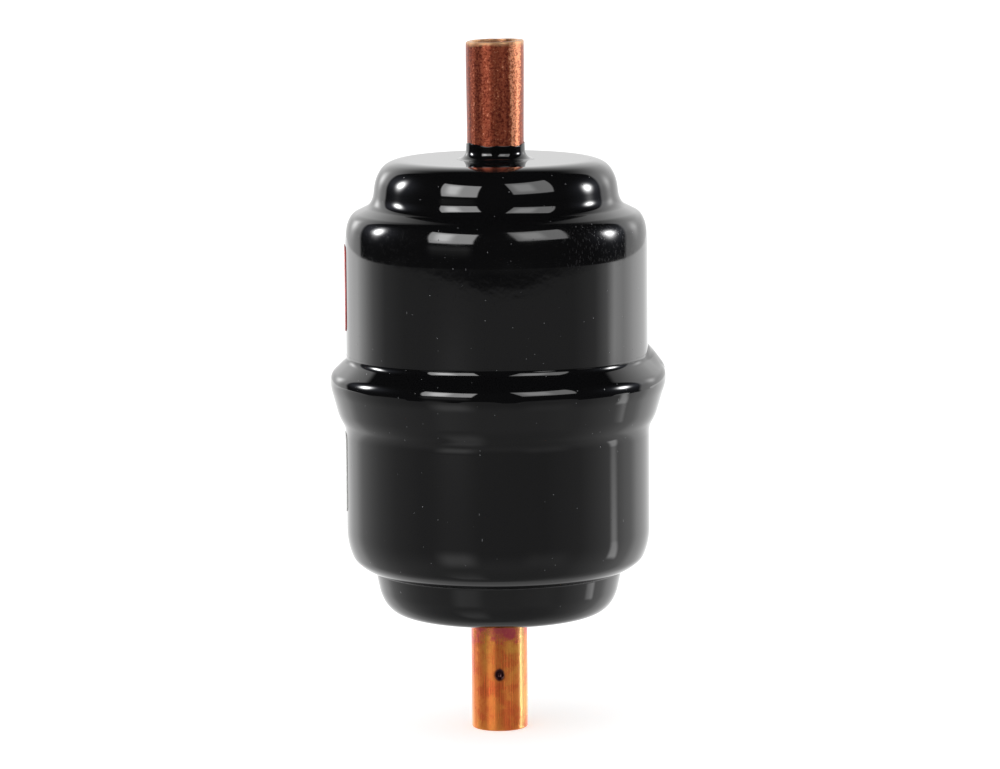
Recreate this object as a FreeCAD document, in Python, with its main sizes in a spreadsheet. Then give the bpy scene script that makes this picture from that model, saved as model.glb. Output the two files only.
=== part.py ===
import FreeCAD, Part
import math
import os

import Sketcher
from FreeCAD import Placement, Rotation, Vector

# Filter drier: a sealed steel can of two drawn cups, a copper solder socket at each end and a spring-held
# desiccant core inside. Millimetres. The axis is Z, with the outlet end at the origin and the inlet at the
# top. The front of the can faces -Y.

SIZES = {
    # copper stubs
    "socket_radius": 3.2,
    "socket_wall": 0.8,
    "socket_ledge": 0.2,
    "socket_swell": 0.1,
    "inlet_socket_depth": 8.4,
    "outlet_socket_depth": 7.5,
    "inlet_stub": 16.6,
    "outlet_stub": 16.63,
    "tube_reach": 2.0,
    "dimple_radius": 0.58,
    "dimple_depth": 0.53,
    "tube_fit": 0.05,
    # braze collars
    "braze_reach": 1.3,
    "braze_lip": 0.28,
    "braze_foot_edge": 0.12,
    "inlet_braze_height": 2.2,
    "outlet_braze_height": 1.5,
    # drawn cups
    "body_radius": 21.17,
    "outlet_oversize": 0.15,
    "wall": 1.2,
    "inlet_dome_height": 6.22,
    "inlet_dome_draft": 1.34,
    "inlet_shoulder_step": 3.73,
    "inlet_shoulder_drop": 1.77,
    "inlet_top_round": 3.2,
    "inlet_shoulder_round": 4.0,
    "inlet_crease_round": 1.4,
    "outlet_dome_height": 6.14,
    "outlet_dome_draft": 1.51,
    "outlet_shoulder_step": 3.91,
    "outlet_shoulder_rise": 1.17,
    "outlet_bottom_round": 3.8,
    "outlet_shoulder_round": 5.2,
    # belled mouth and seam weld
    "outlet_cup_length": 32.9,
    "flare_length": 6.93,
    "flare_rise": 2.26,
    "rim_fit": 0.05,
    "weld_root_gap": 1.0,
    "weld_crown_height": 1.65,
    "weld_crown_step": 0.7,
    "weld_crown_round": 2.3,
    "weld_height": 3.32,
    "lump_angle": 12.0,
    "lump_half_width": 7.5,
    "lump_half_depth": 2.75,
    "lump_half_height": 3.1,
    "lump_lift": 1.6,
    # labels
    "label_start_angle": 38.0,
    "label_span_angle": 150.0,
    "label_thickness": 0.1,
    "upper_label_top_gap": 3.93,
    "upper_label_seam_gap": 2.57,
    "lower_label_seam_gap": 0.2,
    "lower_label_corner_gap": 7.36,
    # plates and screens
    "plate_thickness": 1.0,
    "outlet_plate_inset": 1.5,
    "plate_hole_radius": 1.1,
    "plate_rim_margin": 3.2,
    "plate_seat_fit": 0.03,
    "spring_plate_thickness": 0.8,
    "spring_plate_skirt": 4.2,
    "spring_plate_fit": 0.25,
    "skirt_slot_width": 3.0,
    "skirt_slot_height": 2.6,
    "screen_thickness": 0.6,
    "screen_wire": 0.6,
    "screen_pitch": 3.1,
    "screen_rim": 1.2,
    # core, felts and mat
    "core_length": 35.0,
    "core_gap": 1.65,
    "core_chamfer": 1.2,
    "core_bore_radius": 4.2,
    "core_bore_roof": 9.0,
    "gasket_thickness": 1.5,
    "gasket_bore_radius": 9.0,
    "mat_thickness": 3.0,
    "mat_edge_round": 0.6,
    "mat_fit": 0.6,
    "felt_thickness": 1.8,
    # spring
    "spring_wire_radius": 0.8,
    "spring_inset": 2.4,
    "spring_spread": 3.0,
    "spring_turns": 3.5,
    "inlet_headroom": 3.66,
}

# radius of a braze collar's hollow flank, against its height
BRAZE_HOLLOW = 1.15

# share of a screen's thickness that each of its two layers of wire takes, so that they bite where they cross
WIRE_LAYER = 0.6

# how many holes each ring of a perforated plate has, from the inside out
PLATE_RINGS = (6, 12, 20)
SKIRT_SLOTS = 6

doc = FreeCAD.newDocument("FilterDrier")


class Size:
    """A length that carries its number and its expression on the sheet together."""

    def __init__(self, value, text=None):
        self.value = float(value)
        self.text = text or repr(float(value))

    def _join(self, other, sign, result):
        return Size(result, f"({self.text} {sign} {other.text})")

    def __add__(self, other):
        other = as_size(other)
        return self._join(other, "+", self.value + other.value)

    def __sub__(self, other):
        other = as_size(other)
        return self._join(other, "-", self.value - other.value)

    def __mul__(self, other):
        other = as_size(other)
        return self._join(other, "*", self.value * other.value)

    def __truediv__(self, other):
        other = as_size(other)
        return self._join(other, "/", self.value / other.value)

    def __neg__(self):
        return Size(-self.value, f"(0 - {self.text})")


def as_size(number):
    return number if isinstance(number, Size) else Size(number)


def root(size):
    return Size(math.sqrt(size.value), f"sqrt({size.text})")


def smaller(first, second):
    return Size(min(first.value, second.value), f"min({first.text}; {second.text})")


def make_sheet():
    """Fill the sheet with the driving sizes and give each one back under its name."""
    sheet = doc.addObject("Spreadsheet::Sheet", "Sizes")
    named = {}
    for row, (alias, value) in enumerate(SIZES.items(), start=1):
        sheet.set(f"A{row}", alias)
        sheet.set(f"B{row}", str(value))
        sheet.setAlias(f"B{row}", alias)
        named[alias] = Size(value, f"Sizes.{alias}")
    doc.recompute()
    return named


def bind(thing, prop, size):
    """Tie one property to its expression on the sheet."""
    thing.setExpression(prop, as_size(size).text)


def new_body(label, height=None, turn=None):
    """A body with its own label, standing at a height on the axis and turned about it."""
    body = doc.addObject("PartDesign::Body", label)
    body.Label = label
    if height is not None:
        bind(body, "Placement.Base.z", height)
    if turn is not None:
        body.Placement = Placement(Vector(0, 0, 0), Rotation(Vector(0, 0, 1), turn.value))
        bind(body, "Placement.Rotation.Angle", turn)
    return body


def origin_part(body, role):
    """One of a body's own origin planes or axes."""
    return next(item for item in body.Origin.OriginFeatures if item.Role == role)


def new_sketch(body, name, plane="XZ_Plane"):
    sketch = body.newObject("Sketcher::SketchObject", name)
    sketch.AttachmentSupport = [(origin_part(body, plane), "")]
    sketch.MapMode = "FlatFace"
    return sketch


def arc_between(start, end, radius):
    """The arc under half a turn from start to end. A positive radius bends to the left of the way there."""
    chord = end - start
    middle = (start + end) * 0.5
    side = Vector(-chord.y, chord.x, 0).normalize()
    lift = math.sqrt(radius * radius - chord.Length * chord.Length / 4)
    centre = middle + side * math.copysign(lift, radius)
    outward = (middle - centre).normalize() * abs(radius)
    return Part.Arc(start, centre + outward, end)


def outline(body, name, corners, arcs=None, plane="XZ_Plane"):
    """A closed sketch through corners (across, up). arcs gives the radius of an edge by its first corner."""
    arcs = arcs or {}
    sketch = new_sketch(body, name, plane)
    corners = [(as_size(across), as_size(up)) for across, up in corners]
    points = [Vector(across.value, up.value, 0) for across, up in corners]
    ends = {}
    for index, start in enumerate(points):
        end = points[(index + 1) % len(points)]
        if index in arcs:
            curve = arc_between(start, end, arcs[index].value)
            # a sketch keeps an arc anticlockwise, so a right-hand one has its ends the other way round
            ends[index] = (1, 2) if arcs[index].value > 0 else (2, 1)
        else:
            curve = Part.LineSegment(start, end)
            ends[index] = (1, 2)
        sketch.addGeometry(curve, False)
    rules = []
    texts = {}
    for index, (across, up) in enumerate(corners):
        following = (index + 1) % len(points)
        rules.append(Sketcher.Constraint("Coincident", index, ends[index][1], following, ends[following][0]))
        for kind, size, line in (("DistanceX", across, -2), ("DistanceY", up, -1)):
            if size.value == 0:
                rules.append(Sketcher.Constraint("PointOnObject", index, ends[index][0], line))
            else:
                texts[len(rules)] = size.text
                rules.append(Sketcher.Constraint(kind, -1, 1, index, ends[index][0], size.value))
        if index in arcs:
            radius = arcs[index]
            texts[len(rules)] = radius.text if radius.value > 0 else f"(0 - {radius.text})"
            rules.append(Sketcher.Constraint("Radius", index, abs(radius.value)))
    sketch.addConstraint(rules)
    for number, text in texts.items():
        sketch.setExpression(f"Constraints[{number}]", text)
    return sketch


def turn_solid(body, name, sketch, angle=360.0):
    """Revolve a sketch about the axis."""
    feature = body.newObject("PartDesign::Revolution", name)
    feature.Profile = sketch
    feature.ReferenceAxis = (sketch, ["V_Axis"])
    angle = as_size(angle)
    feature.Angle = angle.value
    if angle.text.startswith("Sizes"):
        bind(feature, "Angle", angle)
    doc.recompute()
    return feature


def turn_away(body, name, sketch):
    """Revolve a sketch about the axis and take it out of the solid."""
    feature = body.newObject("PartDesign::Groove", name)
    feature.Profile = sketch
    feature.ReferenceAxis = (sketch, ["V_Axis"])
    feature.Angle = 360.0
    doc.recompute()
    return feature


def ring_edge(feature, radius, height):
    """The name of the circular edge nearest to a radius and a height."""
    best = None
    for number, edge in enumerate(feature.Shape.Edges, start=1):
        if not isinstance(edge.Curve, Part.Circle):
            continue
        off = math.hypot(edge.Curve.Radius - radius.value, edge.Curve.Center.z - height.value)
        if best is None or off < best[0]:
            best = (off, f"Edge{number}")
    return best[1]


def round_ring(body, name, radius, height, rounding):
    """Round the circular edge at a radius and a height."""
    base = body.Tip
    feature = body.newObject("PartDesign::Fillet", name)
    feature.Base = (base, [ring_edge(base, radius, height)])
    bind(feature, "Radius", rounding)
    doc.recompute()
    return feature


def bevel_ring(body, name, radius, height, bevel):
    """Chamfer the circular edge at a radius and a height."""
    base = body.Tip
    feature = body.newObject("PartDesign::Chamfer", name)
    feature.Base = (base, [ring_edge(base, radius, height)])
    bind(feature, "Size", bevel)
    doc.recompute()
    return feature


def flat_face(feature, height):
    """The name of the level face at a height."""
    for number, face in enumerate(feature.Shape.Faces, start=1):
        level = isinstance(face.Surface, Part.Plane) and abs(face.normalAt(0, 0).z) > 0.99
        if level and abs(face.CenterOfMass.z - height.value) < 1e-4:
            return f"Face{number}"
    raise ValueError(f"no level face at {height.value}")


def hollow_out(body, name, open_height, wall):
    """Leave a wall of even thickness, open at the level face at a height."""
    base = body.Tip
    feature = body.newObject("PartDesign::Thickness", name)
    feature.Base = (base, [flat_face(base, open_height)])
    feature.Reversed = True
    feature.Join = 0
    bind(feature, "Value", wall)
    doc.recompute()
    return feature


def disc(body, name, radius, thickness):
    """A round blank standing on the body's own level plane."""
    corners = [(0, 0), (radius, 0), (radius, thickness), (0, thickness)]
    return turn_solid(body, name, outline(body, f"{name}_outline", corners))


def hole_ring(body, name, ring_radius, hole_radius, count):
    """Punch a ring of round holes through a blank."""
    sketch = new_sketch(body, f"{name}_outline", "XY_Plane")
    centre = Vector(ring_radius.value, 0, 0)
    sketch.addGeometry(Part.Circle(centre, Vector(0, 0, 1), hole_radius.value), False)
    rules = [
        Sketcher.Constraint("DistanceX", -1, 1, 0, 3, ring_radius.value),
        Sketcher.Constraint("PointOnObject", 0, 3, -1),
        Sketcher.Constraint("Radius", 0, hole_radius.value),
    ]
    sketch.addConstraint(rules)
    sketch.setExpression("Constraints[0]", ring_radius.text)
    sketch.setExpression("Constraints[2]", hole_radius.text)
    pocket = body.newObject("PartDesign::Pocket", name)
    pocket.Profile = sketch
    pocket.Type = "ThroughAll"
    pocket.Midplane = True
    doc.recompute()
    repeat_round(body, f"{name}_ring", pocket, count)


def repeat_round(body, name, feature, count):
    """Repeat a cut evenly about the axis."""
    ring = body.newObject("PartDesign::PolarPattern", name)
    ring.Originals = [feature]
    ring.Axis = (origin_part(body, "Z_Axis"), [""])
    ring.Angle = 360.0
    ring.Occurrences = count
    body.Tip = ring
    doc.recompute()


size = make_sheet()

# Places worked out from the driving sizes. Heights count up from the outlet end, radii out from the axis.
tube_radius = size["socket_radius"] + size["socket_wall"]
tube_bore_radius = size["socket_radius"] - size["socket_ledge"]
outlet_body_radius = size["body_radius"] + size["outlet_oversize"]
chamber_radius = size["body_radius"] - size["wall"]
outlet_chamber_radius = outlet_body_radius - size["wall"]
inlet_crease_radius = size["body_radius"] - size["inlet_shoulder_step"]
inlet_top_radius = inlet_crease_radius - size["inlet_dome_draft"]
outlet_crease_radius = outlet_body_radius - size["outlet_shoulder_step"]
outlet_bottom_radius = outlet_crease_radius - size["outlet_dome_draft"]

# the belled mouth: its inner face is the outer one moved in by the wall, and the inner cup's rim stops on it
lip_radius = outlet_body_radius + size["flare_rise"]
flare_start = size["outlet_cup_length"] - size["flare_length"]
flare_slope = size["flare_rise"] / size["flare_length"]
flare_slant = root(size["flare_rise"] * size["flare_rise"] + size["flare_length"] * size["flare_length"])
flare_wall = size["wall"] * flare_slant / size["flare_length"]
lip_height = size["outlet_stub"] + size["outlet_cup_length"]
rim_climb = (flare_wall - size["outlet_oversize"]) / flare_slope + size["rim_fit"]
rim_height = size["outlet_stub"] + flare_start + rim_climb
root_height = rim_height + size["weld_root_gap"]
root_groove_radius = size["body_radius"] + (size["rim_fit"] + size["weld_root_gap"]) * flare_slope
lip_inner_radius = lip_radius - flare_wall

# the outlet plate rests on the inside of the shoulder's round
shoulder_slant = root(
    size["outlet_shoulder_step"] * size["outlet_shoulder_step"]
    + size["outlet_shoulder_rise"] * size["outlet_shoulder_rise"]
)
outlet_round = smaller(size["outlet_shoulder_round"], size["outlet_shoulder_step"] * 1.38)
round_reach = outlet_round * (shoulder_slant - size["outlet_shoulder_rise"]) / size["outlet_shoulder_step"]
round_centre_radius = outlet_body_radius - outlet_round
outlet_corner_height = size["outlet_stub"] + size["outlet_dome_height"] + size["outlet_shoulder_rise"]
round_centre_height = outlet_corner_height + round_reach
inner_round = outlet_round - size["wall"]
outlet_plate_radius = outlet_chamber_radius - size["outlet_plate_inset"]
plate_overhang = outlet_plate_radius - round_centre_radius
plate_sag = root(inner_round * inner_round - plate_overhang * plate_overhang)
outlet_plate_height = round_centre_height - plate_sag + size["plate_seat_fit"]

# the stack that the plate carries
outlet_screen_height = outlet_plate_height + size["plate_thickness"]
mat_height = outlet_screen_height + size["screen_thickness"]
gasket_height = mat_height + size["mat_thickness"]
core_height = gasket_height + size["gasket_thickness"]
core_radius = chamber_radius - size["core_gap"]
felt_height = core_height + size["core_length"]
inlet_screen_height = felt_height + size["felt_thickness"]
spring_plate_height = inlet_screen_height + size["screen_thickness"]
spring_seat_height = spring_plate_height + size["spring_plate_thickness"]

# the inlet cup closes over the stack
inlet_corner_height = spring_seat_height + size["inlet_headroom"]
inlet_crease_height = inlet_corner_height + size["inlet_shoulder_drop"]
can_top_height = inlet_crease_height + size["inlet_dome_height"]
ceiling_height = can_top_height - size["wall"]

# each label fills its cup's straight wall, between the seam and the cup's corner
lump_top_height = lip_height + size["lump_lift"] + size["lump_half_height"]
upper_label_low = lump_top_height + size["upper_label_seam_gap"]
upper_label_high = inlet_corner_height - size["upper_label_top_gap"]
lower_label_low = outlet_corner_height + size["lower_label_corner_gap"]
lower_label_high = size["outlet_stub"] + flare_start - size["lower_label_seam_gap"]


def make_inlet_shell():
    """Upper cup: stepped dome, sloping shoulder, straight wall and a hole for the tube."""
    body = new_body("inlet_shell", rim_height)
    top = can_top_height - rim_height
    crease = inlet_crease_height - rim_height
    corner = inlet_corner_height - rim_height
    corners = [
        (0, 0),
        (size["body_radius"], 0),
        (size["body_radius"], corner),
        (inlet_crease_radius, crease),
        (inlet_top_radius, top),
        (0, top),
    ]
    turn_solid(body, "inlet_cup", outline(body, "inlet_cup_outline", corners))
    shoulder_round = smaller(size["inlet_shoulder_round"], size["inlet_shoulder_step"] * 1.08)
    round_ring(body, "inlet_shoulder", size["body_radius"], corner, shoulder_round)
    round_ring(body, "inlet_crease", inlet_crease_radius, crease, size["inlet_crease_round"])
    round_ring(body, "inlet_top", inlet_top_radius, top, size["inlet_top_round"])
    hollow_out(body, "inlet_wall", Size(0), size["wall"])
    cut_tube_hole(body, top - size["wall"] * 2, top + size["wall"])


def cut_tube_hole(body, low, high):
    """Open the hole that a tube is brazed into."""
    hole_radius = tube_radius + size["tube_fit"]
    corners = [(0, low), (hole_radius, low), (hole_radius, high), (0, high)]
    turn_away(body, "tube_hole", outline(body, "tube_hole_outline", corners))


def make_outlet_shell():
    """Lower cup: stepped dome, rounded shoulder, straight wall and a belled mouth for the upper cup's rim."""
    body = new_body("outlet_shell", size["outlet_stub"])
    crease = size["outlet_dome_height"]
    corner = outlet_corner_height - size["outlet_stub"]
    corners = [
        (0, 0),
        (outlet_bottom_radius, 0),
        (outlet_crease_radius, crease),
        (outlet_body_radius, corner),
        (outlet_body_radius, flare_start),
        (lip_radius, size["outlet_cup_length"]),
        (0, size["outlet_cup_length"]),
    ]
    turn_solid(body, "outlet_cup", outline(body, "outlet_cup_outline", corners))
    round_ring(body, "outlet_shoulder", outlet_body_radius, corner, outlet_round)
    round_ring(body, "outlet_bottom", outlet_bottom_radius, Size(0), size["outlet_bottom_round"])
    hollow_out(body, "outlet_wall", size["outlet_cup_length"], size["wall"])
    cut_tube_hole(body, -size["wall"], size["wall"] * 2)


def make_seam_weld():
    """Weld bead that fills the groove inside the belled mouth, with the lump where it starts and stops."""
    body = new_body("seam_weld", lip_height, size["lump_angle"])
    below_lip = lip_height - root_height
    crown_radius = lip_radius - size["weld_crown_step"]
    corners = [
        (0, -below_lip),
        (root_groove_radius, -below_lip),
        (lip_inner_radius, 0),
        (lip_radius, 0),
        (crown_radius, size["weld_crown_height"]),
        (size["body_radius"], size["weld_height"]),
        (0, size["weld_height"]),
    ]
    bead = outline(body, "bead_outline", corners, {3: size["weld_crown_round"]})
    turn_solid(body, "bead", bead)
    lump = body.newObject("PartDesign::AdditiveEllipsoid", "lump")
    bind(lump, "Radius1", size["lump_half_height"])
    bind(lump, "Radius2", size["lump_half_depth"])
    bind(lump, "Radius3", size["lump_half_width"])
    bind(lump, "Placement.Base.x", size["body_radius"])
    bind(lump, "Placement.Base.z", size["lump_lift"])
    doc.recompute()
    reach = lip_radius + size["lump_half_depth"]
    low = below_lip + size["lump_half_height"]
    high = size["weld_height"] + size["lump_lift"] + size["lump_half_height"]
    inside = [
        (0, -low),
        (reach, -low),
        (reach, 0),
        (lip_inner_radius, 0),
        (root_groove_radius, -below_lip),
        (size["body_radius"], -below_lip),
        (size["body_radius"], high),
        (0, high),
    ]
    turn_away(body, "cups", outline(body, "cups_outline", inside))


def make_outlet_tube():
    """Lower stub. A dimple just past the socket's ledge stops the pipe."""
    length = size["outlet_stub"] + size["wall"] + size["tube_reach"]
    depth = size["outlet_socket_depth"]
    dimple_height = depth + size["dimple_radius"]
    body = new_body("outlet_tube", Size(0))
    corners = [
        (size["socket_radius"], 0),
        (tube_radius, 0),
        (tube_radius, length),
        (tube_bore_radius, length),
        (tube_bore_radius, depth),
        (size["socket_radius"], depth),
    ]
    turn_solid(body, "outlet_pipe", outline(body, "outlet_pipe_outline", corners))
    push = body.newObject("PartDesign::AdditiveSphere", "dimple_inside")
    bind(push, "Radius", size["dimple_radius"])
    bind(push, "Placement.Base.y", -(tube_radius - size["dimple_radius"] - size["tube_fit"] * 2))
    bind(push, "Placement.Base.z", dimple_height)
    doc.recompute()
    dent = body.newObject("PartDesign::SubtractiveSphere", "dimple_outside")
    bind(dent, "Radius", size["dimple_radius"])
    bind(dent, "Placement.Base.y", -(tube_radius + size["dimple_radius"] - size["dimple_depth"]))
    bind(dent, "Placement.Base.z", dimple_height)
    doc.recompute()


def make_inlet_tube():
    """Upper stub, its end swaged out to a socket."""
    length = size["inlet_stub"] + size["wall"] + size["tube_reach"]
    depth = size["inlet_socket_depth"]
    body = new_body("inlet_tube", ceiling_height - size["tube_reach"])
    swaged = tube_radius + size["socket_swell"]
    plain = length - depth
    corners = [
        (tube_bore_radius, 0),
        (tube_radius, 0),
        (tube_radius, plain - size["socket_swell"] * 6),
        (swaged, plain),
        (swaged, length),
        (size["socket_radius"], length),
        (size["socket_radius"], plain),
        (tube_bore_radius, plain),
    ]
    turn_solid(body, "inlet_pipe", outline(body, "inlet_pipe_outline", corners))


def make_braze(label, height, rise, way):
    """Braze collar between a tube and the can, its flank hollow; way is 1 upwards and -1 downwards."""
    body = new_body(label, height)
    lip = tube_radius + size["braze_lip"]
    foot = tube_radius + size["braze_reach"]
    corners = [
        (tube_radius, 0),
        (foot, 0),
        (foot, size["braze_foot_edge"] * way),
        (lip, rise * way),
        (tube_radius, rise * way),
    ]
    hollow = rise * (-way * BRAZE_HOLLOW)
    turn_solid(body, "collar", outline(body, "collar_outline", corners, {2: hollow}))


def make_label(label, height, top, radius):
    """Thin label bent around the back of the can, from a height up to its top."""
    label_height = top - height
    body = new_body(label, height, size["label_start_angle"])
    corners = [
        (radius, 0),
        (radius + size["label_thickness"], 0),
        (radius + size["label_thickness"], label_height),
        (radius, label_height),
    ]
    turn_solid(body, f"{label}_sheet", outline(body, f"{label}_outline", corners), size["label_span_angle"])


def punch_plate(body, usable_radius):
    """Punch the rings of holes, evenly spaced out to the usable radius."""
    for ring, count in enumerate(PLATE_RINGS, start=1):
        ring_radius = usable_radius * ring / len(PLATE_RINGS)
        hole_ring(body, f"holes_{ring}", ring_radius, size["plate_hole_radius"], count)


def make_outlet_plate():
    """Perforated plate at the bottom of the stack."""
    body = new_body("outlet_plate", outlet_plate_height)
    disc(body, "outlet_blank", outlet_plate_radius, size["plate_thickness"])
    punch_plate(body, outlet_plate_radius - size["plate_rim_margin"])


def make_spring_plate():
    """Perforated pressure plate, its skirt turned down over the core and slotted for the flow."""
    body = new_body("spring_plate", spring_plate_height)
    inner = core_radius + size["spring_plate_fit"]
    outer = inner + size["spring_plate_thickness"]
    corners = [
        (0, 0),
        (inner, 0),
        (inner, -size["spring_plate_skirt"]),
        (outer, -size["spring_plate_skirt"]),
        (outer, size["spring_plate_thickness"]),
        (0, size["spring_plate_thickness"]),
    ]
    turn_solid(body, "pressure_cap", outline(body, "pressure_cap_outline", corners))
    round_ring(body, "cap_bend", outer, size["spring_plate_thickness"], size["spring_plate_thickness"] * 0.9)
    punch_plate(body, core_radius - size["plate_rim_margin"])
    half = size["skirt_slot_width"] / 2
    low = size["spring_plate_skirt"] * 1.2
    high = size["spring_plate_skirt"] - size["skirt_slot_height"]
    corners = [(-half, -low), (half, -low), (half, -high), (-half, -high)]
    cut = body.newObject("PartDesign::Pocket", "slot")
    cut.Profile = outline(body, "slot_outline", corners, plane="YZ_Plane")
    cut.Type = "Length"
    bind(cut, "Length", outer * 1.2)
    doc.recompute()
    repeat_round(body, "slots", cut, SKIRT_SLOTS)


def make_screen(label, height, radius):
    """Wire cloth: a rim and two crossing layers of wires, pressed into each other where they cross."""
    thickness = size["screen_thickness"].value
    wire = size["screen_wire"].value
    pitch = size["screen_pitch"].value
    layer = thickness * WIRE_LAYER
    blank = Part.makeCylinder(radius.value, thickness)
    opening = Part.makeCylinder(radius.value - size["screen_rim"].value, thickness)
    rim = blank.cut(opening)
    reach = int(radius.value / pitch)
    wires = []
    for step in range(-reach, reach + 1):
        low = step * pitch - wire / 2
        warp = Vector(-radius.value, low, 0)
        weft = Vector(low, -radius.value, thickness - layer)
        wires.append(Part.makeBox(2 * radius.value, wire, layer, warp))
        wires.append(Part.makeBox(wire, 2 * radius.value, layer, weft))
    cloth = wires[0].multiFuse(wires[1:]).common(blank)
    feature = doc.addObject("Part::Feature", label)
    feature.Label = label
    feature.Shape = rim.fuse(cloth).removeSplitter()
    feature.Placement = Placement(Vector(0, 0, height.value), Rotation())


def make_core():
    """Moulded desiccant block with bevelled ends and a blind bore from its outlet end."""
    body = new_body("desiccant_core", core_height)
    length = size["core_length"]
    bore_top = length - size["core_bore_roof"]
    corners = [
        (size["core_bore_radius"], 0),
        (core_radius, 0),
        (core_radius, length),
        (0, length),
        (0, bore_top),
        (size["core_bore_radius"], bore_top - size["core_bore_radius"] / 2),
    ]
    turn_solid(body, "block", outline(body, "block_outline", corners))
    bevel_ring(body, "foot_bevel", core_radius, Size(0), size["core_chamfer"])
    bevel_ring(body, "head_bevel", core_radius, length, size["core_chamfer"])


def make_gasket():
    """Felt ring under the core, against the can's wall."""
    body = new_body("core_gasket", gasket_height)
    outer = outlet_chamber_radius - size["mat_fit"]
    corners = [
        (size["gasket_bore_radius"], 0),
        (outer, 0),
        (outer, size["gasket_thickness"]),
        (size["gasket_bore_radius"], size["gasket_thickness"]),
    ]
    turn_solid(body, "ring", outline(body, "ring_outline", corners))


def make_filter_mat():
    """Polyester mat over the outlet screen."""
    body = new_body("filter_mat", mat_height)
    radius = outlet_chamber_radius - size["mat_fit"]
    disc(body, "mat", radius, size["mat_thickness"])
    round_ring(body, "mat_edge_low", radius, Size(0), size["mat_edge_round"])
    round_ring(body, "mat_edge_high", radius, size["mat_thickness"], size["mat_edge_round"])


def make_felt():
    """Felt disc on the core's inlet end."""
    body = new_body("inlet_felt", felt_height)
    disc(body, "felt", core_radius, size["felt_thickness"])


def make_spring():
    """Conical compression spring between the pressure plate and the dome's ceiling."""
    wire = size["spring_wire_radius"]
    top_radius = inlet_top_radius - size["wall"] - size["spring_inset"]
    height = ceiling_height - spring_seat_height - wire * 2
    helix = doc.addObject("Part::Helix", "spring_path")
    bind(helix, "Height", height)
    bind(helix, "Pitch", height / size["spring_turns"])
    bind(helix, "Radius", top_radius + size["spring_spread"])
    helix.setExpression("Angle", f"0 deg - atan({size['spring_spread'].text} / {height.text})")
    helix.LocalCoord = 0
    section = doc.addObject("Part::Circle", "spring_section")
    bind(section, "Radius", wire)
    section.Placement = Placement(Vector(0, 0, 0), Rotation(Vector(1, 0, 0), 90))
    bind(section, "Placement.Base.x", top_radius + size["spring_spread"])
    spring = doc.addObject("Part::Sweep", "spring")
    spring.Label = "spring"
    spring.Sections = [section]
    spring.Spine = (helix, [])
    spring.Solid = True
    spring.Frenet = True
    bind(spring, "Placement.Base.z", spring_seat_height + wire)
    doc.recompute()


make_inlet_tube()
make_outlet_tube()
make_inlet_shell()
make_outlet_shell()
make_seam_weld()
make_braze("inlet_braze", can_top_height, size["inlet_braze_height"], 1)
make_braze("outlet_braze", size["outlet_stub"], size["outlet_braze_height"], -1)
make_label("upper_label", upper_label_low, upper_label_high, size["body_radius"])
make_label("lower_label", lower_label_low, lower_label_high, outlet_body_radius)
make_outlet_plate()
make_screen("outlet_screen", outlet_screen_height, outlet_plate_radius)
make_filter_mat()
make_gasket()
make_core()
make_felt()
make_screen("inlet_screen", inlet_screen_height, core_radius)
make_spring_plate()
make_spring()
doc.recompute()

NODES = (
    "inlet_tube", "outlet_tube", "inlet_shell", "outlet_shell", "seam_weld", "inlet_braze", "outlet_braze",
    "upper_label", "lower_label", "outlet_plate", "outlet_screen", "filter_mat", "core_gasket",
    "desiccant_core", "inlet_felt", "inlet_screen", "spring_plate", "spring",
)

for item in doc.Objects:
    if "Invalid" in item.State or "Error" in item.State:
        raise RuntimeError(f"{item.Label} failed: {item.State}")

shapes = {node: doc.getObjectsByLabel(node)[0].Shape for node in NODES}
for node, shape in shapes.items():
    if shape.isNull() or not shape.isValid():
        raise RuntimeError(f"{node} has no valid shape")

os.makedirs("parts", exist_ok=True)
for node, shape in shapes.items():
    shape.exportStep(f"parts/{node}.step")
    print(f"{node}: {shape.Volume:.1f} mm3")
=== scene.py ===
"""Looks of a filter drier: a gloss black steel can with a copper stub at each end.

The can's two drawn cups, the seam weld, the braze collars, the copper stubs, the labels, the wire screens and the
spring are finer pieces that stand for their solids. The plates, felts, mat and desiccant core keep their solids and
are dressed here. The axis is Z, the outlet end stands at the origin and the front faces -Y.
"""

from __future__ import annotations

import logging
import math
from dataclasses import dataclass, field
from enum import Enum
from functools import cache
from typing import Callable, Sequence, Union

import bpy
import numpy as np
from mathutils import Matrix, Vector

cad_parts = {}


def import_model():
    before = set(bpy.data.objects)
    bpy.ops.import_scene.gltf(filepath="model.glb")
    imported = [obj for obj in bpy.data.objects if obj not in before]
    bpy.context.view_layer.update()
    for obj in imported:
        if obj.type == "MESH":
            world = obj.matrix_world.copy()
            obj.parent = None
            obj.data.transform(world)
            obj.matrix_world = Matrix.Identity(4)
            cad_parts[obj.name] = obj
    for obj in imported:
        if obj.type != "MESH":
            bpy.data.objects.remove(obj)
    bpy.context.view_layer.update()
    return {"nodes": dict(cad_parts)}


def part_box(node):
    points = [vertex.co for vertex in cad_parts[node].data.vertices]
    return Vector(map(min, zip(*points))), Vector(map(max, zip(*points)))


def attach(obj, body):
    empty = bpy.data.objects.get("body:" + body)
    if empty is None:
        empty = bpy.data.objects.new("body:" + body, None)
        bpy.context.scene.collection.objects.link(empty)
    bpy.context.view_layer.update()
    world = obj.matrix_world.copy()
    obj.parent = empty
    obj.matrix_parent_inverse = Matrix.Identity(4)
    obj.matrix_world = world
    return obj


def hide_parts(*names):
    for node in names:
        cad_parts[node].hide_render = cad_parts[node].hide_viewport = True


LOG = logging.getLogger("filter_drier")

MM = 0.001
BODY = "root"
# Fineness of an outline: degrees for one step of a round and of a pressed bend, and millimetres of the short spans
# beside them and of the spans along a straight run.
TURN_STEP = 4.0
BEND_STEP = 2.5
BRACE = 0.14
SPAN = 2.2
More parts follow.
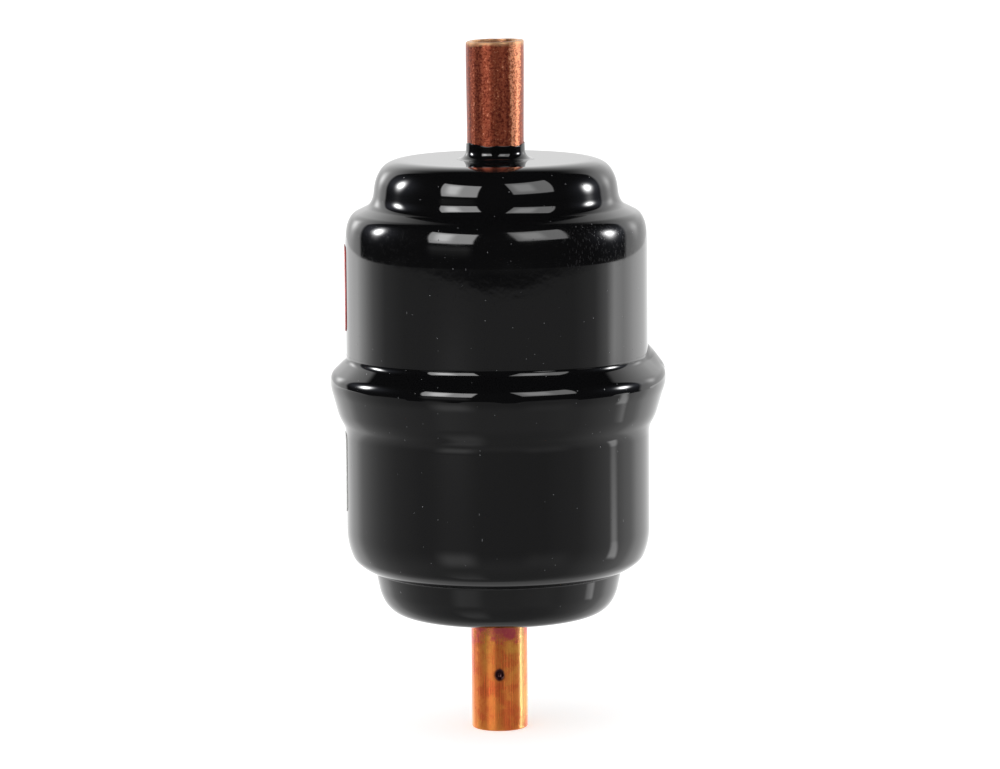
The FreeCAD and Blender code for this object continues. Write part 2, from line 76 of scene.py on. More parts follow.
# The lump where the seam's weld starts and stops: its bearing from +X in degrees, its place and its reach along the
# seam in millimetres, and how far it pushes out the lip below it.
LUMP_ANGLE = 12.0
LUMP_RADIUS = 21.17
LUMP_REACH = 10.9
LUMP_HEIGHT = 50.0
LUMP_PUSH = 0.46

Socket = bpy.types.NodeSocket
Plug = Union[Socket, float, int, tuple]
Point = tuple[float, float]
Colour = tuple[float, float, float]


class CanPart(Enum):
    """The two cups of the can, by the end that they close."""

    INLET = "inlet"
    OUTLET = "outlet"


class Ring(Enum):
    """How a turned piece is divided round the axis."""

    TUBE = 128
    DIMPLED_TUBE = 240
    COLLAR = 192
    CAN = 216


# ---- node graphs


class Graph:
    """Adds nodes to a tree and wires them, each input being a plug or a constant."""

    def __init__(self, tree: bpy.types.NodeTree) -> None:
        """Keeps the tree.

        Args:
            tree: The shader or geometry tree to fill.
        """
        self.tree = tree

    def add(self, kind: str, inputs: dict[Union[int, str], Plug] | None = None, **settings: object) -> bpy.types.Node:
        """Adds one node.

        Args:
            kind: The node's type name.
            inputs: Input index or name to a socket or a constant.
            settings: Node properties to set before the inputs.

        Returns:
            The new node.
        """
        node = self.tree.nodes.new(kind)
        for name, value in settings.items():
            setattr(node, name, value)
        for key, value in (inputs or {}).items():
            if isinstance(value, bpy.types.NodeSocket):
                self.tree.links.new(value, node.inputs[key])
            else:
                node.inputs[key].default_value = value
        return node

    def math(self, operation: str, first: Plug, second: Plug = 0.0) -> Socket:
        """One arithmetic step, given back as its output plug."""
        return self.add("ShaderNodeMath", {0: first, 1: second}, operation=operation).outputs[0]

    def plus(self, first: Plug, second: Plug) -> Socket:
        """The sum of two plugs."""
        return self.math("ADD", first, second)

    def minus(self, first: Plug, second: Plug) -> Socket:
        """The first plug less the second."""
        return self.math("SUBTRACT", first, second)

    def times(self, first: Plug, second: Plug) -> Socket:
        """The product of two plugs."""
        return self.math("MULTIPLY", first, second)

    def over(self, first: Plug, second: Plug) -> Socket:
        """The first plug divided by the second."""
        return self.math("DIVIDE", first, second)

    def most(self, first: Plug, second: Plug) -> Socket:
        """The greater of two plugs."""
        return self.math("MAXIMUM", first, second)

    def least(self, first: Plug, second: Plug) -> Socket:
        """The smaller of two plugs."""
        return self.math("MINIMUM", first, second)

    def vector(self, operation: str, first: Plug, second: Plug = (0.0, 0.0, 0.0)) -> bpy.types.Node:
        """One vector step, given back as its node."""
        return self.add("ShaderNodeVectorMath", {0: first, 1: second}, operation=operation)

    def split(self, vector: Socket) -> bpy.types.NodeOutputs:
        """The three parts of a vector."""
        return self.add("ShaderNodeSeparateXYZ", {0: vector}).outputs

    def join(self, across: Plug, deep: Plug, up: Plug) -> Socket:
        """A vector from its three parts."""
        return self.add("ShaderNodeCombineXYZ", {0: across, 1: deep, 2: up}).outputs[0]

    def polar(self, radius: Plug, angle: Plug, up: Plug) -> Socket:
        """A vector from its distance and angle about the axis and its height."""
        across = self.times(radius, self.math("COSINE", angle))
        return self.join(across, self.times(radius, self.math("SINE", angle)), up)

    def ramp(self, value: Plug, low: float, high: float, start: float = 0.0, end: float = 1.0) -> Socket:
        """A smooth, clamped step.

        Args:
            value: The plug to map.
            low: Input that gives the start value.
            high: Input that gives the end value.
            start: Output at the low input.
            end: Output at the high input.

        Returns:
            The mapped plug.
        """
        inputs = {"Value": value, "From Min": low, "From Max": high, "To Min": start, "To Max": end}
        return self.add("ShaderNodeMapRange", inputs, interpolation_type="SMOOTHSTEP").outputs["Result"]


class Surface(Graph):
    """The shader graph of one finish, with the patterns that the finishes share."""

    def __init__(self, name: str) -> None:
        """Makes an empty material whose shader is a Principled one.

        Args:
            name: The material's name.
        """
        self.material = bpy.data.materials.new(name)
        self.material.use_nodes = True
        super().__init__(self.material.node_tree)
        self.tree.nodes.clear()
        self.shader = self.add("ShaderNodeBsdfPrincipled")
        out = self.add("ShaderNodeOutputMaterial")
        self.tree.links.new(self.shader.outputs[0], out.inputs["Surface"])
        self.place = self.add("ShaderNodeTexCoord").outputs["Object"]

    def stretch(self, scale: tuple[float, float, float], turn: tuple[float, float, float] = (0, 0, 0)) -> Socket:
        """The piece's own coordinates, turned by an angle in degrees and scaled on each axis."""
        rotation = tuple(math.radians(angle) for angle in turn)
        inputs = {"Vector": self.place, "Scale": scale, "Rotation": rotation}
        return self.add("ShaderNodeMapping", inputs).outputs[0]

    def round_about(self, across: float, around: float) -> Socket:
        """Coordinates that run round the axis and along it.

        Args:
            across: Repeats for one turn about the axis.
            around: Repeats for one metre along it.

        Returns:
            The plug, its seam lying at the back.
        """
        x, y, z = self.split(self.place)
        angle = self.math("ARCTAN2", x, self.times(y, -1.0))
        turned = self.times(angle, across / math.tau)
        return self.join(turned, 0.0, self.times(z, around))

    def noise(self, at: Plug, scale: float, detail: float = 4.0, roughness: float = 0.55) -> Socket:
        """Fractal noise between 0 and 1."""
        inputs = {"Vector": at, "Scale": scale, "Detail": detail, "Roughness": roughness}
        return self.add("ShaderNodeTexNoise", inputs).outputs["Fac"]

    def cells(self, at: Plug, scale: float) -> bpy.types.NodeOutputs:
        """Random cells: their distance, colour and place."""
        return self.add("ShaderNodeTexVoronoi", {"Vector": at, "Scale": scale}).outputs

    def toward(self, aim: Point) -> Socket:
        """How far a point lies to the right and the front, each weighed by its share in the aim."""
        across, deep, _ = self.split(self.place)
        return self.minus(self.times(across, aim[0]), self.times(deep, aim[1]))

    def specks(self, at: Plug, scale: float, radius: float, share: float) -> Socket:
        """Sparse round specks.

        Args:
            at: Coordinates.
            scale: Cells for one unit of the coordinates.
            radius: Speck radius as a share of a cell.
            share: How many of the cells hold a speck, from 0 to 1.

        Returns:
            1 on a speck and 0 off it.
        """
        found = self.cells(at, scale)
        near = self.ramp(found["Distance"], radius, radius * 0.45)
        chosen = self.math("GREATER_THAN", self.split(found["Color"])[0], 1.0 - share)
        return self.times(near, chosen)

    def blend(self, share: Plug, first: Plug, second: Plug) -> Socket:
        """A colour between two.

        Args:
            share: How much of the second there is, from 0 to 1.
            first: The first colour.
            second: The second colour.

        Returns:
            The mixed colour.
        """
        node = self.tree.nodes.new("ShaderNodeMix")
        node.data_type = "RGBA"
        for key, value in ((0, share), (6, first), (7, second)):
            if isinstance(value, bpy.types.NodeSocket):
                self.tree.links.new(value, node.inputs[key])
            else:
                node.inputs[key].default_value = value if key == 0 else (*value, 1.0)
        return node.outputs[2]

    def bumps(self, *layers: tuple[Plug, float, float]) -> None:
        """Stacks bump layers on the shader.

        Args:
            layers: Height plug, strength and distance in metres of each layer.
        """
        normal: Socket | None = None
        for height, strength, distance in layers:
            inputs: dict[Union[int, str], Plug] = {"Height": height, "Strength": strength, "Distance": distance}
            if normal is not None:
                inputs["Normal"] = normal
            normal = self.add("ShaderNodeBump", inputs).outputs[0]
        if normal is not None:
            self.tree.links.new(normal, self.shader.inputs["Normal"])

    def dress(self, **values: Plug) -> bpy.types.Material:
        """Sets or links the shader's own sockets.

        Args:
            values: Socket name, with _ for a space, to a plug or a constant.

        Returns:
            The finished material.
        """
        for key, value in values.items():
            plug = self.shader.inputs[key.replace("_", " ")]
            if isinstance(value, bpy.types.NodeSocket):
                self.tree.links.new(value, plug)
            elif isinstance(value, tuple) and len(value) == 3:
                plug.default_value = (*value, 1.0)
            else:
                plug.default_value = value
        return self.material

    def drawn(self, share: float, **values: Plug) -> bpy.types.Material:
        """The same for metal drawn along the axis, which smears a highlight lengthwise.

        Args:
            share: How much longer than wide a highlight is, from 0 to 1.
            values: Socket name, with _ for a space, to a plug or a constant.

        Returns:
            The finished material.
        """
        around = self.vector("CROSS_PRODUCT", (0.0, 0.0, 1.0), self.place).outputs["Vector"]
        return self.dress(Anisotropic=share, Anisotropic_Rotation=0.25, Tangent=around, **values)


# ---- finishes


@dataclass(frozen=True)
class BlackPaint:
    """Baked gloss enamel over steel, with faint orange peel, dust nibs, hairlines and a rubbed shoulder.

    Attributes:
        gloss: Roughness of clean enamel.
        belt_foot: Heights in metres between which the rubbed belt round the shoulder comes in.
        belt_head: Heights between which it goes out.
        right: How far to the right its scuffs come in.
        left: How far to the left the fewer scuffs there come in.
        front: How far to the front they come in.
    """

    name: str = "gloss_black_paint"
    colour: Colour = (0.0035, 0.0035, 0.0038)
    dust_colour: Colour = (0.16, 0.16, 0.17)
    gloss: float = 0.024
    belt_foot: Point = (0.0664, 0.0686)
    belt_head: Point = (0.0745, 0.0715)
    right: Point = (0.007, 0.013)
    left: Point = (-0.009, -0.016)
    front: Point = (0.002, -0.004)

    def material(self) -> bpy.types.Material:
        """Builds the paint.

        Returns:
            The material.
        """
        s = Surface(self.name)
        peel = s.noise(s.place, 620.0, 2.0)
        flow = s.noise(s.place, 130.0, 1.0)
        dust = s.specks(s.place, 900.0, 0.085, 0.45)
        lint = s.specks(s.stretch((560.0, 560.0, 190.0), (20, 35, 0)), 1.0, 0.05, 0.3)
        hair = s.noise(s.stretch((5200.0, 300.0, 900.0), (0, 0, 25)), 1.0, 2.0)
        scratch = s.ramp(hair, 0.66, 0.74)
        cloud = s.noise(s.place, 70.0, 4.0, 0.65)
        marks = s.most(dust, lint)
        across, deep, up = s.split(s.place)
        shoulder = s.times(s.ramp(up, *self.belt_foot), s.ramp(up, *self.belt_head))
        side = s.plus(s.ramp(across, *self.right), s.ramp(across, *self.left, 0.0, 0.45))
        rubbed_and_painted_highlight = s.times(s.times(shoulder, side), s.ramp(deep, *self.front))
        first = s.specks(s.stretch((3300.0, 3300.0, 900.0), (10, 35, 0)), 1.0, 0.30, 0.9)
        second = s.specks(s.stretch((2900.0, 2900.0, 1000.0), (-15, -30, 20)), 1.0, 0.30, 0.8)
        scuffs = s.times(s.most(first, second), rubbed_and_painted_highlight)
        colour = s.blend(s.times(marks, 0.6), self.colour, self.dust_colour)
        colour = s.blend(s.times(scuffs, s.ramp(cloud, 0.35, 0.7, 0.07, 0.26)), colour, self.dust_colour)
        rough = s.ramp(cloud, 0.3, 0.8, self.gloss * 0.8, self.gloss * 1.5)
        rough = s.plus(rough, s.times(shoulder, s.ramp(cloud, 0.4, 0.7, 0.035, 0.12)))
        for flaw, dulling in ((scratch, 0.06), (marks, 0.4), (scuffs, 0.12)):
            rough = s.plus(rough, s.times(flaw, dulling))
        s.bumps((flow, 0.03, 0.0002), (peel, 0.014, 0.00008), (marks, 0.5, 0.00003))
        return s.dress(Base_Color=colour, Roughness=rough, IOR=1.5)


@dataclass(frozen=True)
class AgedCopper:
    """Copper pipe dulled to red-brown, mottled and streaked along its length, with a highlight painted down its right
    front.

    Attributes:
        highlight_aim: Shares of right and front in the way that the painted highlight streak faces.
        highlight_edge: Distances in metres that way between which the painted highlight comes in.
        rim_edge: Heights between which the filed rim comes in.
    """

    name: str = "aged_copper"
    dark: Colour = (0.115, 0.022, 0.013)
    middle: Colour = (0.32, 0.072, 0.036)
    bright: Colour = (0.86, 0.36, 0.19)
    end: Colour = (0.80, 0.52, 0.27)
    highlight_aim: Point = (0.71, 0.70)
    highlight_edge: Point = (0.00377, 0.00392)
    rim_edge: Point = (0.0970, 0.0977)

    def material(self) -> bpy.types.Material:
        """Builds the aged copper.

        Returns:
            The material.
        """
        s = Surface(self.name)
        mottle = s.noise(s.place, 3200.0, 3.0, 0.7)
        streak = s.noise(s.round_about(26.0, 36.0), 1.0, 4.0, 0.6)
        grain = s.noise(s.round_about(190.0, 420.0), 1.0, 3.0)
        blotch = s.noise(s.place, 240.0, 3.0)
        height = s.split(s.place)[2]
        # Painted highlight: the tone is raised in a streak down the pipe's right front.
        wear_and_painted_highlight = s.ramp(s.toward(self.highlight_aim), *self.highlight_edge, 0.0, 0.13)
        tone = s.plus(s.times(mottle, 0.62), s.times(streak, 0.38))
        tone = s.plus(tone, wear_and_painted_highlight)
        colour = s.blend(s.ramp(tone, 0.40, 0.53), self.dark, self.middle)
        colour = s.blend(s.ramp(tone, 0.55, 0.68), colour, self.bright)
        colour = s.blend(s.ramp(blotch, 0.58, 0.75, 0.0, 0.35), colour, self.dark)
        rim = s.ramp(s.plus(height, s.times(blotch, 0.0012)), *self.rim_edge, 0.0, 0.6)
        colour = s.blend(rim, colour, self.end)
        rough = s.plus(s.ramp(mottle, 0.3, 0.7, 0.30, 0.44), s.times(grain, 0.08))
        s.bumps((grain, 0.25, 0.00004), (mottle, 0.45, 0.00005))
        return s.drawn(0.45, Base_Color=colour, Roughness=rough, Metallic=0.92)


@dataclass(frozen=True)
class BrightCopper:
    """Freshly brazed copper pipe: orange, finely scratched and heat-tinted under the can, with a highlight painted
    down its right front and shade painted in its dimple.

    Attributes:
        highlight_aim: Shares of right and front in the way that the painted highlight streak faces.
        highlight_edge: Distances in metres that way between which the painted highlight comes in.
        heat_edge: Heights between which the heat tint comes in.
        dimple_height: Height of the dimple, whose painted shade is a little taller than wide.
    """

    name: str = "heat_tinted_copper"
    colour: Colour = (0.95, 0.27, 0.055)
    gold: Colour = (0.97, 0.43, 0.075)
    tint: Colour = (0.66, 0.075, 0.135)
    stain: Colour = (0.74, 0.13, 0.032)
    # Near-black colour of the shade painted in the dimple's hollow.
    painted_dimple_shade: Colour = (0.022, 0.005, 0.012)
    # Colour of the painted highlight streak down the right front.
    rubbed_and_painted_highlight: Colour = (1.0, 0.70, 0.26)
    highlight_aim: Point = (0.79, 0.61)
    highlight_edge: Point = (0.00389, 0.00401)
    heat_edge: Point = (0.0168, 0.0192)
    dimple_height: float = 0.00812

    def material(self) -> bpy.types.Material:
        """Builds the bright copper.

        Returns:
            The material.
        """
        s = Surface(self.name)
        scratch = s.noise(s.round_about(300.0, 60.0), 1.0, 4.0, 0.7)
        cloud = s.noise(s.place, 330.0, 5.0, 0.7)
        fleck = s.noise(s.place, 1500.0, 3.0, 0.7)
        band = s.noise(s.round_about(5.0, 60.0), 1.0, 2.0)
        across, deep, height = s.split(s.place)
        heat = s.ramp(s.plus(height, s.times(cloud, 0.009)), *self.heat_edge)
        colour = s.blend(s.ramp(band, 0.40, 0.62), self.colour, self.gold)
        colour = s.blend(s.ramp(cloud, 0.46, 0.62, 0.0, 0.85), colour, self.stain)
        colour = s.blend(s.ramp(fleck, 0.50, 0.66, 0.0, 0.5), colour, self.stain)
        colour = s.blend(s.times(heat, 0.85), colour, self.tint)
        tall = s.times(s.minus(height, self.dimple_height), 0.76)
        away = s.vector("LENGTH", s.join(across, 0.0, tall)).outputs["Value"]
        front = s.ramp(deep, 0.001, -0.001)
        halo = s.times(s.ramp(away, 0.0019, 0.0007, 0.0, 0.5), front)
        # Painted shade: the dimple's hollow is laid near black, a little taller than wide, on the front only.
        painted_dimple_shade = s.times(s.ramp(s.plus(away, s.times(cloud, 0.0003)), 0.00098, 0.00068), front)
        colour = s.blend(halo, colour, self.stain)
        colour = s.blend(s.times(painted_dimple_shade, 0.97), colour, self.painted_dimple_shade)
        # Painted highlight: a pale yellow streak laid down the pipe's right front.
        streak = s.ramp(s.plus(s.toward(self.highlight_aim), s.times(fleck, 0.00006)), *self.highlight_edge)
        colour = s.blend(s.times(streak, s.ramp(cloud, 0.66, 0.50, 0.25, 0.85)), colour, self.rubbed_and_painted_highlight)
        rough = s.plus(s.ramp(scratch, 0.3, 0.7, 0.20, 0.25), s.times(heat, 0.06))
        rough = s.plus(rough, s.times(cloud, 0.06))
        s.bumps((scratch, 0.015, 0.00003), (cloud, 0.12, 0.00006), (fleck, 0.14, 0.00004))
        return s.drawn(0.88, Base_Color=colour, Roughness=rough, Metallic=0.62)


@dataclass(frozen=True)
class LabelPrint:
    """Printed film label with a plain field and rows of bars; it carries no words."""

    name: str
    field_colour: Colour
    ink: Colour
    rows: float
    columns: float = 34.0
    grime: Colour = (0.30, 0.27, 0.24)

    def material(self) -> bpy.types.Material:
        """Builds the print.

        Returns:
            The material.
        """
        s = Surface(self.name)
        u, v, _ = s.split(s.add("ShaderNodeUVMap", uv_map="UVMap").outputs[0])
        inside = s.times(s.ramp(u, 0.05, 0.052), s.ramp(u, 0.95, 0.948))
        inside = s.times(inside, s.times(s.ramp(v, 0.12, 0.125), s.ramp(v, 0.9, 0.895)))
        lines = s.times(v, self.rows)
        row = s.math("FRACT", lines)
        line = s.times(s.ramp(row, 0.28, 0.30), s.ramp(row, 0.72, 0.70))
        place = s.join(s.times(u, self.columns), s.math("FLOOR", lines), 0.0)
        block = s.math("GREATER_THAN", s.split(s.cells(place, 1.0)["Color"])[1], 0.42)
        print_share = s.times(s.times(line, block), inside)
        wear_and_painted_highlight = s.noise(s.place, 900.0, 4.0, 0.7)
        print_share = s.times(print_share, s.ramp(wear_and_painted_highlight, 0.28, 0.36))
        scuff = s.noise(s.place, 140.0, 5.0, 0.7)
        ground = s.blend(s.ramp(scuff, 0.45, 0.8, 0.0, 0.35), self.field_colour, self.grime)
        colour = s.blend(print_share, ground, self.ink)
        rough = s.ramp(scuff, 0.3, 0.7, 0.30, 0.48)
        s.bumps((wear_and_painted_highlight, 0.08, 0.00003), (scuff, 0.12, 0.0001))
        return s.dress(Base_Color=colour, Roughness=rough, IOR=1.48)


@dataclass(frozen=True)
class ZincSteel:
    """Zinc-plated sheet with faint spangle and punching marks."""

    name: str = "zinc_plated_steel"
    light: Colour = (0.66, 0.67, 0.68)
    dark: Colour = (0.42, 0.43, 0.45)
    dull: Colour = (0.50, 0.47, 0.42)

    def material(self) -> bpy.types.Material:
        """Builds the zinc plating.

        Returns:
            The material.
        """
        s = Surface(self.name)
        spangle = s.split(s.cells(s.place, 520.0)["Color"])[0]
        cloud = s.noise(s.place, 160.0, 4.0)
        brushed = s.noise(s.stretch((4200.0, 380.0, 4200.0), (0, 0, 15)), 1.0, 3.0)
        colour = s.blend(s.times(spangle, 0.55), self.light, self.dark)
        colour = s.blend(s.ramp(cloud, 0.55, 0.8, 0.0, 0.4), colour, self.dull)
        rough = s.ramp(brushed, 0.3, 0.7, 0.28, 0.42)
        s.bumps((brushed, 0.12, 0.00004), (spangle, 0.05, 0.00002))
        return s.dress(Base_Color=colour, Roughness=rough, Metallic=1.0)


@dataclass(frozen=True)
class DrawnWire:
    """Drawn wire with lengthwise die marks and light tarnish."""

    name: str
    light: Colour
    dark: Colour
    base_rough: float

    def material(self) -> bpy.types.Material:
        """Builds the wire.

        Returns:
            The material.
        """
        s = Surface(self.name)
        tarnish = s.noise(s.place, 420.0, 5.0, 0.65)
        die = s.noise(s.stretch((900.0, 900.0, 5200.0)), 1.0, 2.0)
        colour = s.blend(s.ramp(tarnish, 0.4, 0.7), self.light, self.dark)
        rough = s.ramp(tarnish, 0.3, 0.75, self.base_rough, self.base_rough + 0.18)
        s.bumps((die, 0.10, 0.00003), (tarnish, 0.10, 0.00004))
        return s.dress(Base_Color=colour, Roughness=rough, Metallic=1.0)


@dataclass(frozen=True)
class Fibre:
    """Pressed or bonded fibre: matted hairs, fuzz and compressed patches."""

    name: str
    light: Colour
    dark: Colour
    hair: float
    sheen: float

    def material(self) -> bpy.types.Material:
        """Builds the fibre.

        Returns:
            The material.
        """
        s = Surface(self.name)
        first = s.noise(s.stretch((self.hair, self.hair * 0.16, self.hair * 0.5), (0, 0, 32)), 1.0, 3.0)
        second = s.noise(s.stretch((self.hair * 0.16, self.hair, self.hair * 0.5), (0, 12, -21)), 1.0, 3.0)
        mat = s.most(first, second)
        patch = s.noise(s.place, 150.0, 3.0)
        colour = s.blend(s.ramp(mat, 0.42, 0.72), self.dark, self.light)
        colour = s.blend(s.ramp(patch, 0.5, 0.8, 0.0, 0.35), colour, self.dark)
        rough = s.ramp(mat, 0.4, 0.7, 0.96, 0.82)
        s.bumps((patch, 0.25, 0.0004), (mat, 0.6, 0.0002))
        return s.dress(Base_Color=colour, Roughness=rough, Sheen_Weight=self.sheen, Sheen_Roughness=0.5)


@dataclass(frozen=True)
class DesiccantBlock:
    """Moulded desiccant: packed beads bonded into a pale, porous block."""

    name: str = "moulded_desiccant"
    bead: Colour = (0.62, 0.52, 0.40)
    binder: Colour = (0.36, 0.28, 0.20)
    powder: Colour = (0.74, 0.66, 0.55)

    def material(self) -> bpy.types.Material:
        """Builds the block.

        Returns:
            The material.
        """
        s = Surface(self.name)
        beads = s.cells(s.place, 900.0)
        dome = s.ramp(beads["Distance"], 0.55, 0.1)
        shade = s.times(s.split(beads["Color"])[2], 0.35)
        powder = s.noise(s.place, 2600.0, 3.0)
        chip = s.ramp(s.noise(s.place, 210.0, 4.0), 0.62, 0.68)
        colour = s.blend(dome, self.binder, self.bead)
        colour = s.blend(shade, colour, self.powder)
        colour = s.blend(s.times(chip, 0.5), colour, self.binder)
        rough = s.ramp(powder, 0.3, 0.7, 0.78, 0.95)
        s.bumps((dome, 0.6, 0.00025), (powder, 0.2, 0.00006), (chip, 0.4, -0.0003))
        return s.dress(Base_Color=colour, Roughness=rough)


@dataclass(frozen=True)
class StudioFloor:
    """Pale matt sweep that keeps the object's soft shadow; the lift brings it to white for the camera alone."""

    name: str = "pale_sweep"
    colour: Colour = (0.92, 0.92, 0.92)
    smudge: Colour = (0.86, 0.86, 0.86)
    lift: float = 0.42

    def material(self) -> bpy.types.Material:
        """Builds the floor's finish.

        Returns:
            The material.
        """
        s = Surface(self.name)
        cloud = s.noise(s.place, 3.0, 2.0)
        colour = s.blend(s.ramp(cloud, 0.3, 0.7, 0.0, 0.03), self.colour, self.smudge)
        path = s.add("ShaderNodeLightPath").outputs
        seen = s.times(path["Is Camera Ray"], self.lift)
        return s.dress(
            Base_Color=colour,
            Roughness=0.9,
            Specular_IOR_Level=0.0,
            Emission_Color=(1.0, 1.0, 1.0),
            Emission_Strength=seen,
        )


# ---- outlines of turned pieces


@dataclass(frozen=True)
class Corner:
    """A corner of an outline, in millimetres.

    Attributes:
        radius: Distance from the axis.
        height: Distance above the outlet end.
        rounding: Radius of the round that the corner carries.
    """

    radius: float
    height: float
    rounding: float = 0.0


@dataclass(frozen=True)
class Bend:
    """A bend of a pressed outline and the straight run after it, in millimetres and degrees.

    Attributes:
        lean: How far the face leans back from upright where the bend ends; 90 faces up and -90 faces down.
        radius: Radius of the bend.
        run: Length of the straight run that follows.
    """

    lean: float
    radius: float
    run: float = 0.0


def spread(start: np.ndarray, end: np.ndarray, brace: float) -> list[np.ndarray]:
    """Points along a straight run, with a short span at each end so that gloss turns only in the rounds.

    Args:
        start: Where the run starts.
        end: Where it ends.
        brace: Length of the short spans.

    Returns:
        The points between the two ends.
    """
    length = float(np.linalg.norm(end - start))
    if length < brace * 3:
        return []
    way = (end - start) / length
    inner = max(1, int(length / SPAN))
    return [start + way * place for place in np.linspace(brace, length - brace, inner + 1)]


def trace(corners: Sequence[Corner], step: float = TURN_STEP, brace: float = BRACE) -> np.ndarray:
    """Follows an open outline, turning its rounded corners into fine arcs.

    Args:
        corners: The outline's corners in order.
        step: Degrees for one arc step.
        brace: Length of the short spans beside each arc.

    Returns:
        The points as an array of (radius, height).
    """
    at = [np.array((corner.radius, corner.height)) for corner in corners]
    runs: list[list[np.ndarray]] = [[at[0]]]
    for index in range(1, len(corners) - 1):
        here = at[index]
        back = at[index - 1] - here
        ahead = at[index + 1] - here
        back_length, ahead_length = np.linalg.norm(back), np.linalg.norm(ahead)
        back, ahead = back / back_length, ahead / ahead_length
        rounding = corners[index].rounding
        if rounding <= 0:
            runs.append([here])
            continue
        half = math.acos(max(-1.0, min(1.0, float(back @ ahead)))) / 2
        reach = rounding / math.tan(half)
        middle = back + ahead
        centre = here + middle / np.linalg.norm(middle) * rounding / math.sin(half)
        first, last = here + back * reach - centre, here + ahead * reach - centre
        sweep = math.atan2(first[0] * last[1] - first[1] * last[0], float(first @ last))
        count = max(2, math.ceil(abs(math.degrees(sweep)) / step))
        arc = []
        for number in range(count + 1):
            turn = sweep * number / count
            cosine, sine = math.cos(turn), math.sin(turn)
            arc.append(centre + np.array((first[0] * cosine - first[1] * sine, first[0] * sine + first[1] * cosine)))
        runs.append(arc)
    runs.append([at[-1]])
    points: list[np.ndarray] = list(runs[0])
    for run in runs[1:]:
        points += spread(points[-1], run[0], brace)
        points += run
    return np.array(points)


def pressed(start: Point, lean: float, run: float, bends: Sequence[Bend]) -> np.ndarray:
    """Follows an outline upwards through its bends, as a press forms it.

    Args:
        start: Radius and height of its first point.
        lean: Lean of the face there, in degrees.
        run: Length of the straight run before the first bend.
        bends: The bends in order.

    Returns:
        The points as an array of (radius, height).
    """
    points = [np.array(start, float)]

    def straight(length: float) -> None:
        """Adds a straight run at the present lean."""
        angle = math.radians(lean)
        end = points[-1] + length * np.array((-math.sin(angle), math.cos(angle)))
        points.extend([*spread(points[-1], end, BRACE), end])

    if run > 0:
        straight(run)
    for bend in bends:
        sweep = math.radians(bend.lean - lean)
        count = max(2, math.ceil(abs(math.degrees(sweep)) / BEND_STEP), math.ceil(abs(sweep) * bend.radius / 0.8))
        angles = math.radians(lean) + sweep * np.arange(1, count + 1) / count
        way = math.copysign(bend.radius, sweep)
        first = np.array((math.cos(math.radians(lean)), math.sin(math.radians(lean))))
        base = points[-1]
        points.extend(base + way * (np.array((math.cos(angle), math.sin(angle))) - first) for angle in angles)
        lean = bend.lean
        if bend.run > 0:
            straight(bend.run)
    return np.array(points)


def inset(points: np.ndarray, wall: float) -> np.ndarray:
    """The other face of a sheet, a wall's thickness to the left of an outline.

    Args:
        points: The outer face, with the outside on its right.
        wall: Thickness of the sheet.

    Returns:
        The inner face in the same order.
    """
    way = np.gradient(points, axis=0)
    way /= np.linalg.norm(way, axis=1)[:, None]
    return points - np.column_stack((way[:, 1], -way[:, 0])) * wall


def bevelled(points: np.ndarray, size: float) -> np.ndarray:
    """A closed outline with a fine bevel on each of its sharp corners, so that edges catch the light.

    Args:
        points: The closed outline, its first point not repeated.
        size: Length cut off each side of a corner.

    Returns:
        The bevelled outline.
    """
    made: list[np.ndarray] = []
    count = len(points)
    for index in range(count):
        here, before, after = points[index], points[index - 1], points[(index + 1) % count]
        back, ahead = before - here, after - here
        back_length, ahead_length = np.linalg.norm(back), np.linalg.norm(ahead)
        turn = math.degrees(math.acos(max(-1.0, min(1.0, float(-(back @ ahead) / (back_length * ahead_length))))))
        if turn < 35:
            made.append(here)
            continue
        cut = min(size, back_length * 0.45, ahead_length * 0.45)
        start, end = here + back / back_length * cut, here + ahead / ahead_length * cut
        middle = (start + end) / 2 * 0.55 + here * 0.45
        made += [start, middle, end]
    return np.array(made)


# ---- geometry trees


